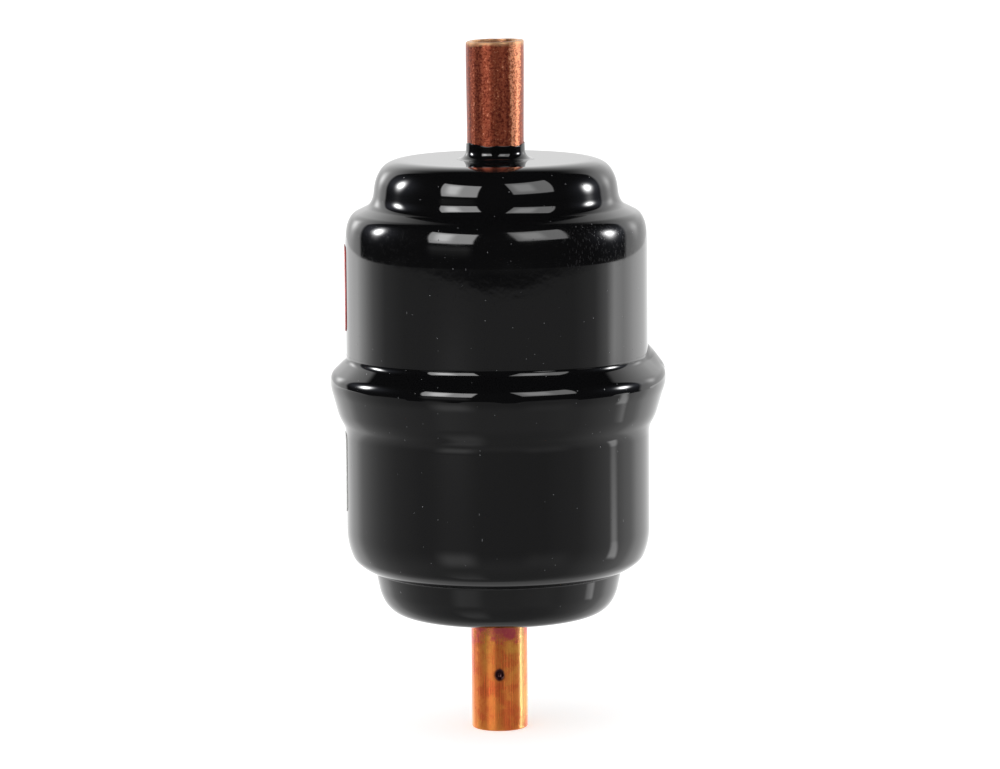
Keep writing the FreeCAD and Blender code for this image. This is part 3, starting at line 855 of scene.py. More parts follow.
class NodeTree(Graph):
    """A geometry tree with named inputs."""

    def __init__(self, name: str, inputs: dict[str, tuple[str, object]]) -> None:
        """Makes the tree's sockets.

        Args:
            name: The tree's name.
            inputs: Input name to its socket type and its default.
        """
        tree = bpy.data.node_groups.new(name, "GeometryNodeTree")
        tree.is_modifier = True
        super().__init__(tree)
        tree.interface.new_socket("Geometry", in_out="INPUT", socket_type="NodeSocketGeometry")
        for title, (kind, default) in inputs.items():
            socket = tree.interface.new_socket(title, in_out="INPUT", socket_type=f"NodeSocket{kind}")
            if default is not None:
                socket.default_value = default
        tree.interface.new_socket("Geometry", in_out="OUTPUT", socket_type="NodeSocketGeometry")
        self.inputs = self.add("NodeGroupInput").outputs
        self.result = self.add("NodeGroupOutput")

    def position(self) -> Socket:
        """Where each point is."""
        return self.add("GeometryNodeInputPosition").outputs[0]

    def line(self, start: Plug, end: Plug, count: int) -> Socket:
        """A straight curve between two points, divided evenly."""
        whole = self.add("GeometryNodeCurvePrimitiveLine", {"Start": start, "End": end}).outputs[0]
        return self.add("GeometryNodeResampleCurve", {"Curve": whole, "Count": count}).outputs[0]

    def circle(self, radius: Plug, count: int) -> Socket:
        """A round curve about the origin."""
        return self.add("GeometryNodeCurvePrimitiveCircle", {"Resolution": count, "Radius": radius}).outputs[0]

    def moved(self, geometry: Socket, point: Plug) -> Socket:
        """Geometry with its points put somewhere else."""
        return self.add("GeometryNodeSetPosition", {"Geometry": geometry, "Position": point}).outputs[0]

    def swept(self, path: Socket, profile: Socket, caps: bool = True) -> Socket:
        """A profile drawn along a path."""
        inputs = {"Curve": path, "Profile Curve": profile, "Fill Caps": caps}
        return self.add("GeometryNodeCurveToMesh", inputs).outputs[0]

    def together(self, *parts: Socket) -> Socket:
        """Several geometries as one."""
        join = self.add("GeometryNodeJoinGeometry")
        for part in parts:
            self.tree.links.new(part, join.inputs[0])
        return join.outputs[0]

    def sealed(self, geometry: Socket) -> Socket:
        """Geometry with its seams and poles merged."""
        return self.add("GeometryNodeMergeByDistance", {"Geometry": geometry, "Distance": 0.000001}).outputs[0]

    def end(self, geometry: Socket) -> None:
        """Finishes the tree with smooth shading, real geometry and the material."""
        smooth = self.add("GeometryNodeSetShadeSmooth", {"Geometry": geometry}).outputs[0]
        real = self.add("GeometryNodeRealizeInstances", {"Geometry": smooth}).outputs[0]
        inputs = {"Geometry": real, "Material": self.inputs["Material"]}
        dressed = self.add("GeometryNodeSetMaterial", inputs).outputs[0]
        self.tree.links.new(dressed, self.result.inputs[0])

    def make(self, piece: bpy.types.Object, **values: object) -> bpy.types.Object:
        """Runs the tree on an object and leaves it as a plain mesh.

        Args:
            piece: The object to build on.
            values: Input name, with _ for a space, to its value.

        Returns:
            The same object with its finished mesh and no modifier.
        """
        modifier = piece.modifiers.new(self.tree.name, "NODES")
        modifier.node_group = self.tree
        wanted = {key.replace("_", " "): value for key, value in values.items()}
        for item in self.tree.interface.items_tree:
            if item.item_type == "SOCKET" and item.in_out == "INPUT" and item.name in wanted:
                modifier[item.identifier] = wanted[item.name]
        graph = bpy.context.evaluated_depsgraph_get()
        mesh = bpy.data.meshes.new_from_object(piece.evaluated_get(graph), depsgraph=graph)
        piece.modifiers.clear()
        piece.data = mesh
        mesh.name = piece.name
        return piece


def numbers(*names: str) -> dict[str, tuple[str, object]]:
    """Named inputs that are plain numbers, and the material that every tree takes last."""
    return {**{name: ("Float", 0.0) for name in names}, "Material": ("Material", None)}


@cache
def lathe_tree() -> NodeTree:
    """The tree that turns an outline about the axis.

    Returns:
        The tree, whose geometry input is the outline's points in order, the first one repeated at the end.
    """
    t = NodeTree("lathe", {"Points": ("Int", 8), "Segments": ("Int", 64), **numbers()})
    points, segments = t.inputs["Points"], t.inputs["Segments"]
    round_count = t.plus(segments, 1.0)
    size = {"Size X": 1.0, "Size Y": 1.0, "Vertices X": points, "Vertices Y": round_count}
    grid = t.add("GeometryNodeMeshGrid", size)
    index = t.plus(t.add("GeometryNodeInputIndex").outputs[0], 0.5)
    row = t.math("FLOOR", t.over(index, round_count))
    column = t.math("FLOOR", t.minus(index, t.times(row, round_count)))
    inputs = {"Geometry": t.inputs["Geometry"], "Value": t.position(), "Index": row}
    sample = t.add("GeometryNodeSampleIndex", inputs, data_type="FLOAT_VECTOR")
    radius, _, height = t.split(sample.outputs[0])
    angle = t.times(t.over(column, segments), math.tau)
    t.end(t.sealed(t.moved(grid.outputs["Mesh"], t.polar(radius, angle, height))))
    return t


@cache
def label_tree() -> NodeTree:
    """The tree that bends a thin sheet round the can, its corners rounded.

    Returns:
        The tree, which takes no geometry.
    """
    t = NodeTree("bent_label", numbers("Radius", "Low", "High", "Start", "Span", "Thickness", "Corner"))
    grid = t.add("GeometryNodeMeshGrid", {"Size X": 1.0, "Size Y": 1.0, "Vertices X": 181, "Vertices Y": 41})
    marked = t.add(
        "GeometryNodeStoreNamedAttribute",
        {"Geometry": grid.outputs["Mesh"], "Name": "UVMap", "Value": grid.outputs["UV Map"]},
        data_type="FLOAT2",
        domain="CORNER",
    ).outputs[0]
    x, y, _ = t.split(t.position())
    along = t.plus(x, 0.5)
    up = t.plus(y, 0.5)
    up = t.add("ShaderNodeMapRange", {"Value": up}, interpolation_type="SMOOTHSTEP").outputs["Result"]
    tall = t.minus(t.inputs["High"], t.inputs["Low"])
    height = t.plus(t.inputs["Low"], t.times(up, tall))
    edge = t.times(t.least(up, t.minus(1.0, up)), tall)
    corner = t.inputs["Corner"]
    short = t.most(t.minus(corner, edge), 0.0)
    chord = t.math("SQRT", t.minus(t.times(corner, corner), t.times(short, short)))
    pull = t.over(t.minus(corner, chord), t.inputs["Radius"])
    span = t.minus(t.inputs["Span"], t.times(pull, 2.0))
    angle = t.plus(t.plus(t.inputs["Start"], pull), t.times(along, span))
    point = t.polar(t.inputs["Radius"], angle, height)
    bent = t.moved(marked, point)
    inputs = {"Mesh": bent, "Offset Scale": t.inputs["Thickness"], "Individual": False}
    thick = t.add("GeometryNodeExtrudeMesh", inputs, mode="FACES").outputs["Mesh"]
    back = t.add("GeometryNodeFlipFaces", {0: bent}).outputs[0]
    t.end(t.sealed(t.together(thick, back)))
    return t


@cache
def wire_cloth_tree() -> NodeTree:
    """The tree that weaves a round of wire cloth: two layers of waved wires and a folded rim.

    Returns:
        The tree, which takes no geometry.
    """
    t = NodeTree("wire_cloth", {"Wires": ("Int", 11), **numbers("Radius", "Height", "Thickness", "Pitch", "Rim")})
    wire = t.over(t.inputs["Thickness"], 4.0)
    middle = t.plus(t.inputs["Height"], t.times(t.inputs["Thickness"], 0.5))
    reach = t.minus(t.inputs["Radius"], t.times(t.inputs["Rim"], 0.5))
    count = t.inputs["Wires"]
    wires = []
    for swap in (0.0, 1.0):
        line = t.add("GeometryNodeMeshLine", {"Count": count, "Offset": (0.0, 1.0, 0.0)}).outputs[0]
        fine = t.line((-1.0, 0.0, 0.0), (1.0, 0.0, 0.0), 91)
        placed = t.add("GeometryNodeInstanceOnPoints", {"Points": line, "Instance": fine}).outputs[0]
        real = t.add("GeometryNodeRealizeInstances", {"Geometry": placed}).outputs[0]
        x, y, _ = t.split(t.position())
        number = t.minus(y, t.over(t.minus(count, 1.0), 2.0))
        side = t.times(number, t.inputs["Pitch"])
        left = t.minus(t.times(reach, reach), t.times(side, side))
        half = t.math("SQRT", t.most(left, 0.0))
        along = t.times(x, half)
        phase = t.times(t.over(along, t.inputs["Pitch"]), math.pi)
        phase = t.plus(phase, t.times(t.plus(y, swap), math.pi))
        wave = t.times(t.math("COSINE", phase), wire)
        up = t.plus(middle, wave)
        point = t.join(side, along, up) if swap else t.join(along, side, up)
        wires.append(t.swept(t.moved(real, point), t.circle(wire, 6)))
    hoop = t.circle(reach, 144)
    hoop = t.add("GeometryNodeSetPosition", {"Geometry": hoop, "Offset": t.join(0.0, 0.0, middle)}).outputs[0]
    flat = t.over(t.inputs["Thickness"], t.inputs["Rim"])
    hem = t.swept(hoop, t.circle(t.times(t.inputs["Rim"], 0.5), 16), caps=False)
    x, y, z = t.split(t.position())
    hem = t.moved(hem, t.join(x, y, t.plus(middle, t.times(t.minus(z, middle), flat))))
    t.end(t.together(*wires, hem))
    return t


@cache
def spring_tree() -> NodeTree:
    """The tree that winds a conical wire spring, its end turns eased flat.

    Returns:
        The tree, which takes no geometry.
    """
    t = NodeTree("wound_spring", numbers("Foot Radius", "Head Radius", "Wire", "Low", "High", "Turns"))
    fine = t.line((0.0, 0.0, 0.0), (1.0, 0.0, 0.0), 361)
    way = t.split(t.position())[0]
    angle = t.times(t.times(way, t.inputs["Turns"]), math.tau)
    taper = t.times(way, t.minus(t.inputs["Head Radius"], t.inputs["Foot Radius"]))
    radius = t.plus(t.inputs["Foot Radius"], taper)
    tall = t.minus(t.inputs["High"], t.inputs["Low"])
    eased = t.plus(t.times(t.ramp(way, 0.0, 1.0), 0.35), t.times(way, 0.65))
    height = t.plus(t.inputs["Low"], t.times(eased, tall))
    point = t.polar(radius, angle, height)
    t.end(t.swept(t.moved(fine, point), t.circle(t.inputs["Wire"], 20)))
    return t


# ---- pieces


def new_object(name: str, data: bpy.types.ID) -> bpy.types.Object:
    """A new object at the origin, linked to the scene."""
    made = bpy.data.objects.new(name, data)
    bpy.context.scene.collection.objects.link(made)
    return made


def blank_piece(name: str, points: np.ndarray | None = None) -> bpy.types.Object:
    """A new piece, still without faces.

    Args:
        name: The piece's name.
        points: Outline of (radius, height) in millimetres, kept as the mesh's vertices.

    Returns:
        The piece's object.
    """
    mesh = bpy.data.meshes.new(name)
    if points is not None:
        mesh.from_pydata([(radius * MM, 0.0, height * MM) for radius, height in points], [], [])
    return new_object(name, mesh)


def vertices(mesh: bpy.types.Mesh) -> np.ndarray:
    """The mesh's vertices in millimetres."""
    flat = np.zeros(len(mesh.vertices) * 3)
    mesh.vertices.foreach_get("co", flat)
    return flat.reshape(-1, 3) / MM


def reshape(mesh: bpy.types.Mesh, change: Callable[[np.ndarray], np.ndarray]) -> None:
    """Moves a mesh's vertices.

    Args:
        mesh: The mesh to change.
        change: Takes the vertices in millimetres and gives them back moved.
    """
    mesh.vertices.foreach_set("co", (change(vertices(mesh)) * MM).ravel())
    mesh.update()


def face_outwards(mesh: bpy.types.Mesh, sharp: float = 34.0) -> None:
    """Turns a closed mesh the right way out and marks its sharp edges.

    Args:
        mesh: The closed mesh.
        sharp: Angle in degrees past which an edge is sharp.
    """
    mesh.calc_loop_triangles()
    corners = np.zeros(len(mesh.loop_triangles) * 3, np.int32)
    mesh.loop_triangles.foreach_get("vertices", corners)
    a, b, c = vertices(mesh)[corners.reshape(-1, 3)].transpose(1, 0, 2)
    if np.einsum("ij,ij->i", a, np.cross(b, c)).sum() < 0:
        mesh.flip_normals()
    mesh.set_sharp_from_angle(angle=math.radians(sharp))


def turned(name: str, outline: np.ndarray, ring: Ring, material: bpy.types.Material) -> bpy.types.Object:
    """A solid turned about the axis.

    Args:
        name: The piece's name.
        outline: The closed outline, its first point not repeated.
        ring: How many segments it has round the axis.
        material: Its finish.

    Returns:
        The finished object.
    """
    closed = np.vstack((outline, outline[:1]))
    piece = blank_piece(name, closed)
    return lathe_tree().make(piece, Points=len(closed), Segments=ring.value, Material=material)


def settle(piece: bpy.types.Object, slot: str, *nodes: str) -> bpy.types.Object:
    """Fixes a finished piece to the frame.

    Args:
        piece: The finished object.
        slot: Not used.
        nodes: The solids that it stands for.

    Returns:
        The same object.
    """
    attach(piece, BODY)
    if nodes:
        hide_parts(*nodes)
    LOG.info("%s: %d vertices", piece.name, len(piece.data.vertices))
    return piece


def bell(distance: np.ndarray, width: float) -> np.ndarray:
    """A smooth hump, 1 at no distance and 0 past the width."""
    share = np.clip(1 - np.abs(distance) / width, 0, 1)
    return share * share * (3 - 2 * share)


def lump_share(angle: np.ndarray) -> np.ndarray:
    """How much of the weld's lump there is at an angle about the axis, in radians."""
    return bell((angle - math.radians(LUMP_ANGLE)) * LUMP_RADIUS, LUMP_REACH)


def lump_push(at: np.ndarray) -> np.ndarray:
    """Moves the lip and the bead out a little under the weld's lump.

    Args:
        at: Vertices in millimetres.

    Returns:
        The vertices moved.
    """
    radius = np.hypot(at[:, 0], at[:, 1])
    share = lump_share(np.arctan2(at[:, 1], at[:, 0])) * bell(at[:, 2] - LUMP_HEIGHT, 3.2)
    moved = np.where(radius > 21.6, radius + LUMP_PUSH * share, radius)
    at[:, :2] *= (moved / radius)[:, None]
    return at


@dataclass
class Can:
    """The two drawn cups: stepped domes, straight walls and the belled mouth of the lower one."""

    wall: float = 1.2
    hole: float = 4.05
    rim: Point = (21.17, 46.06)
    upper_run: float = 21.6135
    upper_top: float = 80.67
    upper_bends: tuple[Bend, ...] = (
        Bend(3.5, 37.799),
        Bend(12.0, 9.228),
        Bend(30.0, 4.373),
        Bend(63.536, 1.944, 1.533),
        Bend(30.0, 1.726),
        Bend(12.0, 2.866),
        Bend(7.635, 4.0, 0.849),
        Bend(14.0, 7.654),
        Bend(35.0, 5.103),
        Bend(65.0, 2.9),
        Bend(82.0, 4.6),
        Bend(90.0, 8.0),
    )
    foot: Point = (13.201, 16.63)
    lower_bends: tuple[Bend, ...] = (
        Bend(-45.0, 3.243),
        Bend(-25.0, 4.385),
        Bend(-12.057, 6.798, 2.369),
        Bend(-76.0, 0.3, 0.05),
        Bend(-45.0, 5.224),
        Bend(-22.0, 2.562),
        Bend(-10.0, 9.637),
        Bend(0.0, 10.009, 13.388),
        Bend(-29.0, 3.5, 0.3),
        Bend(-15.0, 6.6, 2.745),
        Bend(-1.0, 5.39),
    )
    lip: Point = (23.40, 49.53)
    paint: bpy.types.Material | None = field(default=None, repr=False)

    def upper_face(self) -> np.ndarray:
        """The upper cup's outer face, from its rim to the tube hole."""
        face = pressed(self.rim, 0.0, self.upper_run, self.upper_bends)
        face[-1, 1] = self.upper_top
        crown = spread(face[-1], np.array((self.hole, self.upper_top)), BRACE)
        return np.vstack((face, *crown, (self.hole, self.upper_top)))

    def lower_face(self) -> np.ndarray:
        """The lower cup's outer face, from the tube hole to its lip."""
        face = pressed(self.foot, -90.0, 0.0, self.lower_bends)
        base = spread(np.array((self.hole, self.foot[1])), face[0], BRACE)
        face[-1] = self.lip
        return np.vstack(((self.hole, self.foot[1]), *base, face))

    def build(self, part: CanPart) -> bpy.types.Object:
        """Builds one cup as a sheet with its inner face.

        Args:
            part: Which cup.

        Returns:
            The cup's object.
        """
        outer = self.upper_face() if part is CanPart.INLET else self.lower_face()
        inner = inset(outer, self.wall)[::-1]
        outline = np.vstack((outer, inner))
        piece = turned(f"{part.value}_cup", outline, Ring.CAN, self.paint)
        reshape(piece.data, lump_push)
        face_outwards(piece.data)
        return settle(piece, "black_paint", f"{part.value}_shell")


@dataclass
class SeamWeld:
    """The painted weld bead that closes the seam, with the lump where it starts and stops."""

    lip: Point = (23.40, 49.53)
    root: Point = (21.52, 47.06)
    wall: float = 21.17
    bends: tuple[Bend, ...] = (
        Bend(8.0, 4.0),
        Bend(46.0, 1.7, 1.866),
        Bend(0.0, 1.1, 0.25),
    )
    lump_depth: float = 2.62
    lump_half: float = 4.5
    lump_crest: float = 0.2
    lump_fillet: float = 0.3
    foot_width: float = 1.26
    front_rise: float = 0.42
    ripple: float = 0.02
    paint: bpy.types.Material | None = field(default=None, repr=False)

    def outline(self) -> np.ndarray:
        """The bead's closed outline, its flank run out into the wall above."""
        outer = pressed(self.lip, -1.0, 0.0, self.bends)
        inner = np.array([(self.wall, outer[-1, 1]), (self.wall, self.root[1]), self.root])
        return np.vstack((outer, inner, [(self.lip[0] - self.foot_width, self.lip[1])]))

    def swell(self, at: np.ndarray) -> np.ndarray:
        """Raises the lump over the bead.

        Args:
            at: The bead's vertices in millimetres.

        Returns:
            The vertices with the lump on them.
        """
        angle = np.arctan2(at[:, 1], at[:, 0])
        radius = np.hypot(at[:, 0], at[:, 1])
        height = at[:, 2].copy()
        share = lump_share(angle)
        outside = (radius > self.wall + 0.005) & (height > self.lip[1] - 0.001)
        top_now = height[outside].max()
        front = np.clip(-np.sin(angle), 0, 1) ** 2
        top_of_lump = LUMP_HEIGHT + self.lump_half + self.lump_crest
        top_here = top_now + (top_of_lump - top_now) * share + self.front_rise * front
        raised = self.lip[1] + (height - self.lip[1]) / (top_now - self.lip[1]) * (top_here - self.lip[1])
        blob = self.wall + self.lump_depth * np.clip(1 - ((raised - LUMP_HEIGHT) / self.lump_half) ** 2, 0, 1) * share
        joined = 0.5 * (radius + blob + np.sqrt((radius - blob) ** 2 + self.lump_fillet**2)) - 0.5 * self.lump_fillet
        weight = np.clip(share * 5, 0, 1) * np.clip((raised - self.lip[1]) / 0.5, 0, 1)
        fade = np.clip((top_here - raised) / 0.3, 0, 1)
        joined = radius + (np.maximum(joined, radius) - radius) * weight * fade
        radius = np.where(outside, joined, radius)
        height = np.where(outside, raised, height)
        ripple = self.ripple * np.sin(angle * 9 + 0.4) * np.sin(angle * 4)
        radius += np.where(outside & (height < top_here - 0.4) & (height > self.lip[1] + 0.1), ripple, 0)
        return lump_push(np.column_stack((radius * np.cos(angle), radius * np.sin(angle), height)))

    def build(self) -> bpy.types.Object:
        """Builds the bead."""
        piece = turned("weld_bead", self.outline(), Ring.CAN, self.paint)
        reshape(piece.data, self.swell)
        face_outwards(piece.data)
        return settle(piece, "black_paint", "seam_weld")


@dataclass
class BrazeCollars:
    """Painted braze at the foot of each stub: a hollow flank and a slightly uneven paint edge.

    Attributes:
        tube: Radius of the stub.
        foot: Radius of the collar's foot.
        skin: Thickness of the collar along the stub.
        inlet: Height of the inlet collar's seat, its rise and the round of its flank.
        outlet: The same for the outlet collar.
        waves: Height, count and phase of the waves in the paint's edge.
        paint: Its finish.
    """

    tube: float = 4.0
    foot: float = 5.45
    skin: float = 0.16
    inlet: tuple[float, float, float] = (80.67, 2.2, 1.25)
    outlet: tuple[float, float, float] = (16.63, 1.5, 0.85)
    waves: tuple[tuple[float, int, float], ...] = ((0.09, 2, 0.8), (0.06, 5, 2.0), (0.03, 11, 0.0))
    paint: bpy.types.Material | None = field(default=None, repr=False)

    def build(self, part: CanPart) -> bpy.types.Object:
        """Builds one collar.

        Args:
            part: The end of the can that it stands on.

        Returns:
            The collar's object.
        """
        way = 1.0 if part is CanPart.INLET else -1.0
        seat, rise, rounding = self.inlet if part is CanPart.INLET else self.outlet
        flank = [
            Corner(self.foot, seat + 0.012 * way),
            Corner(self.tube + self.skin, seat + 0.06 * way, rounding),
            Corner(self.tube + 0.10, seat + rise * way),
        ]
        crest = np.array(
            [
                (self.tube + 0.085, seat + (rise + 0.03) * way),
                (self.tube + 0.04, seat + (rise + 0.05) * way),
                (self.tube, seat + (rise + 0.05) * way),
                (self.tube, seat),
                (self.foot, seat),
            ]
        )
        outline = np.vstack((trace(flank, brace=0.06), crest))
        piece = turned(f"{part.value}_collar", outline, Ring.COLLAR, self.paint)

        def waver(at: np.ndarray) -> np.ndarray:
            """Lets the paint's edge wander a little round the pipe.

            Args:
                at: Vertices in millimetres.

            Returns:
                The vertices moved.
            """
            angle = np.arctan2(at[:, 1], at[:, 0])
            up = (at[:, 2] - seat) * way
            wander = sum(height * np.sin(angle * count + phase) for height, count, phase in self.waves)
            lowered = up * (1 - (0.05 - wander * 0.6) * np.clip(up / rise, 0, 1))
            at[:, 2] = seat + lowered * way
            return at

        reshape(piece.data, waver)
        face_outwards(piece.data, 50.0)
        return settle(piece, "black_paint", f"{part.value}_braze")


@dataclass
class CopperStubs:
    """The copper pipes at both ends: sockets with softened rims, a swaged inlet and a dimpled outlet.

    Attributes:
        bore: Radius of the pipe's bore.
        socket: Radius of the sockets.
        radius: Outer radius.
        swaged: Outer radius of the swaged end.
        inlet_foot: Height of the upper stub's foot, inside the can.
        inlet_end: Height of its end.
        inlet_socket: Height of its socket's floor.
        swage: How far below the socket's floor and the end the swage starts and stops.
        swage_round: Radius of its rounds.
        end_slant: How much the sawn end falls from right to left.
        end_reach: How far down the stub the saw's pull is felt.
        mid_wall: Radius that parts the outer from the inner face.
        outlet_top: Height of the lower stub's top, inside the can.
        outlet_socket: Depth of its socket.
        dimple_height: Height of the dimple.
        dimple_radius: Radius of the punch that made it.
        dimple_depth: Its depth.
        dimple_lip: Depth and width of the sunk lip round it.
        dimple_reach: How far from its middle the pipe is pulled in.
        rim_round: Round of the rims.
    """

    bore: float = 3.0
    socket: float = 3.2
    radius: float = 3.965
    swaged: float = 4.06
    inlet_foot: float = 77.47
    inlet_end: float = 97.27
    inlet_socket: float = 88.87
    swage: Point = (4.5, 2.5)
    swage_round: float = 60.0
    end_slant: float = 0.2
    end_reach: float = 4.5
    mid_wall: float = 3.6
    outlet_top: float = 19.83
    outlet_socket: float = 7.5
    dimple_height: float = 8.08
    dimple_radius: float = 0.58
    dimple_depth: float = 0.53
    dimple_lip: Point = (0.06, 0.16)
    dimple_reach: float = 1.6
    rim_round: float = 0.16

    def inlet(self, copper: bpy.types.Material) -> bpy.types.Object:
        """Builds the upper stub, its sawn end a little off square.

        Args:
            copper: Its finish.

        Returns:
            The stub's object.
        """
        corners = [
            Corner(self.bore, self.inlet_foot),
            Corner(self.radius, self.inlet_foot),
            Corner(self.radius, self.inlet_socket - self.swage[0], self.swage_round),
            Corner(self.swaged, self.inlet_end - self.swage[1], self.swage_round),
            Corner(self.swaged, self.inlet_end, self.rim_round * 1.6),
            Corner(self.socket, self.inlet_end, self.rim_round),
            Corner(self.socket, self.inlet_socket, 0.05),
            Corner(self.bore, self.inlet_socket),
        ]
        piece = turned("inlet_stub", bevelled(trace(corners, step=12.0, brace=0.08), 0.05), Ring.TUBE, copper)

        def saw(at: np.ndarray) -> np.ndarray:
            """Tilts the sawn end and lets its rim wander.

            Args:
                at: Vertices in millimetres.

            Returns:
                The vertices moved.
            """
            top = np.clip(1 - (self.inlet_end - at[:, 2]) / self.end_reach, 0, 1) ** 2
            angle = np.arctan2(at[:, 1], at[:, 0])
            lean = (at[:, 0] / self.swaged - 1) * 0.5 * self.end_slant
            ripple = 0.02 * (np.sin(angle * 3 + 1.0) - 1) + 0.012 * (np.sin(angle * 8) - 1)
            at[:, 2] += top * (lean + ripple)
            squeeze = 1 - 0.004 * np.cos(angle * 2 + 0.5) ** 2 * top
            at[:, 0] *= squeeze
            at[:, 1] *= squeeze
            return at

        reshape(piece.data, saw)
        face_outwards(piece.data, 40.0)
        return settle(piece, "aged_copper", "inlet_tube")

    def outlet(self, copper: bpy.types.Material) -> bpy.types.Object:
        """Builds the lower stub with the dimple that stops the pipe.

        Args:
            copper: Its finish.

        Returns:
            The stub's object.
        """
        half = self.dimple_reach / 2
        heights = np.linspace(self.dimple_height - half, self.dimple_height + half, 21)
        fine = [Corner(self.radius, float(height)) for height in heights]
        corners = [
            Corner(self.bore, self.outlet_top),
            Corner(self.bore, self.outlet_socket + 0.02),
            Corner(self.socket, self.outlet_socket),
            Corner(self.socket, 0.0, self.rim_round),
            Corner(self.radius, 0.0, self.rim_round * 1.6),
            *fine,
            Corner(self.radius, self.outlet_top),
        ]
        outline = trace(corners, step=12.0, brace=0.08)
        piece = turned("outlet_stub", outline, Ring.DIMPLED_TUBE, copper)

        def press(at: np.ndarray) -> np.ndarray:
            """Presses the dimple into the front of the pipe.

            Args:
                at: Vertices in millimetres.

            Returns:
                The vertices moved.
            """
            radius = np.hypot(at[:, 0], at[:, 1])
            away = np.hypot(at[:, 0], at[:, 2] - self.dimple_height)
            front = (at[:, 1] < 0) & (away < self.dimple_reach)
            ball = np.sqrt(np.clip(self.dimple_radius**2 - away**2, 0, None)) - 0.05
            sink = np.clip(ball, 0, self.dimple_depth)
            lip = self.dimple_lip[0] * np.exp(-(((away - self.dimple_radius) / self.dimple_lip[1]) ** 2))
            outside = radius > self.mid_wall
            new = np.where(front & outside, radius - np.maximum(sink, lip), radius)
            push = np.clip(np.sqrt(np.clip(0.62**2 - away**2, 0, None)) - 0.42, 0, 0.2)
            new = np.where(front & ~outside, radius - push * 0.6, new)
            at[:, :2] *= (new / radius)[:, None]
            return at

        reshape(piece.data, press)
        face_outwards(piece.data, 40.0)
        return settle(piece, "bright_copper", "outlet_tube")


@dataclass
class Labels:
    """The two film labels round the back of the can."""

    thickness: float = 0.1
    glue: float = 0.004
    start: float = 38.0
    span: float = 150.0
    upper: tuple[float, float, float] = (21.17, 56.8, 68.75)
    lower: tuple[float, float, float] = (21.32, 31.3, 42.4)
    corner: float = 1.2

    def build(self, name: str, sizes: tuple[float, float, float], finish: LabelPrint, slot: str) -> bpy.types.Object:
        """Builds one label.

        Args:
            name: The piece's name.
            sizes: Radius of the wall, and the label's lowest and highest edge.
            finish: Its print.
            slot: Not used; the solid that it stands for is named after the first word of the piece's name.

        Returns:
            The label's object.
        """
        radius, low, high = sizes
        piece = label_tree().make(
            blank_piece(name),
            Radius=(radius + self.glue) * MM,
            Low=low * MM,
            High=high * MM,
            Start=math.radians(self.start),
            Span=math.radians(self.span),
            Thickness=(self.thickness - 1.5 * self.glue) * MM,
            Corner=self.corner * MM,
            Material=finish.material(),
        )
        face_outwards(piece.data, 60.0)
        return settle(piece, slot, f"{name.split('_')[0]}_label")

    def dress(self) -> None:
        """Builds both labels."""
        red = LabelPrint("red_print", (0.55, 0.035, 0.03), (0.80, 0.78, 0.74), 6.0)
        white = LabelPrint("white_print", (0.78, 0.78, 0.76), (0.03, 0.03, 0.035), 7.0)
        self.build("upper_film", self.upper, red, "red_label")
        self.build("lower_film", self.lower, white, "white_label")


@dataclass
class FilterPack:
    """What the can holds: plates, screens, mat, felts, desiccant core and spring."""

    pitch: float = 1.55
    rim: float = 1.2
    wire: float = 0.8
    turns: float = 3.5
    head_radius: float = 12.5
    foot_radius: float = 15.5

    def screen(self, node: str, metal: bpy.types.Material) -> bpy.types.Object:
        """Weaves one screen in the space of its solid.

        Args:
            node: The solid that it stands for.
            metal: Its finish.

        Returns:
            The screen's object.
        """
        low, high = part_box(node)
        radius = high.x
        piece = wire_cloth_tree().make(
            blank_piece(f"{node}_cloth"),
            Radius=radius,
            Height=low.z,
            Thickness=high.z - low.z,
            Pitch=self.pitch * MM,
            Rim=self.rim * MM,
            Wires=2 * int((radius / MM - self.rim) / self.pitch) + 1,
            Material=metal,
        )
        return settle(piece, "screen_wire", node)

    def spring(self, metal: bpy.types.Material) -> bpy.types.Object:
        """Winds the spring between the pressure plate and the dome.

        Args:
            metal: Its finish.

        Returns:
            The spring's object.
        """
        low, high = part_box("spring")
        piece = spring_tree().make(
            blank_piece("wound_spring"),
            Foot_Radius=self.foot_radius * MM,
            Head_Radius=self.head_radius * MM,
            Wire=self.wire * MM,
            Low=low.z + self.wire * MM,
            High=high.z - self.wire * MM,
            Turns=self.turns,
            Material=metal,
        )
        return settle(piece, "spring_steel", "spring")

    def dress(self, nodes: dict[str, bpy.types.Object]) -> None:
        """Builds the woven and wound pieces and dresses the solids that stay.

        Args:
            nodes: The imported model's solids by name.
        """
        cloth = DrawnWire("screen_wire_steel", (0.62, 0.62, 0.60), (0.36, 0.35, 0.33), 0.26).material()
        steel = DrawnWire("spring_wire_steel", (0.34, 0.33, 0.33), (0.12, 0.11, 0.13), 0.24).material()
        self.screen("outlet_screen", cloth)
        self.screen("inlet_screen", cloth)
        self.spring(steel)
        zinc = ZincSteel().material()
        felt = Fibre("pressed_felt", (0.52, 0.49, 0.44), (0.28, 0.26, 0.23), 5200.0, 0.25).material()
        mat = Fibre("polyester_wadding", (0.84, 0.85, 0.84), (0.55, 0.57, 0.58), 3400.0, 0.35).material()
        block = DesiccantBlock().material()
        kept = {
            "outlet_plate": (zinc, "zinc_steel"),
            "spring_plate": (zinc, "zinc_steel"),
            "filter_mat": (mat, "polyester_mat"),
            "core_gasket": (felt, "felt"),
            "inlet_felt": (felt, "felt"),
            "desiccant_core": (block, "desiccant"),
        }
        for name, (material, slot) in kept.items():
            nodes[name].data.materials.clear()
            nodes[name].data.materials.append(material)
            LOG.info("%s: dressed", name)


# ---- studio and camera


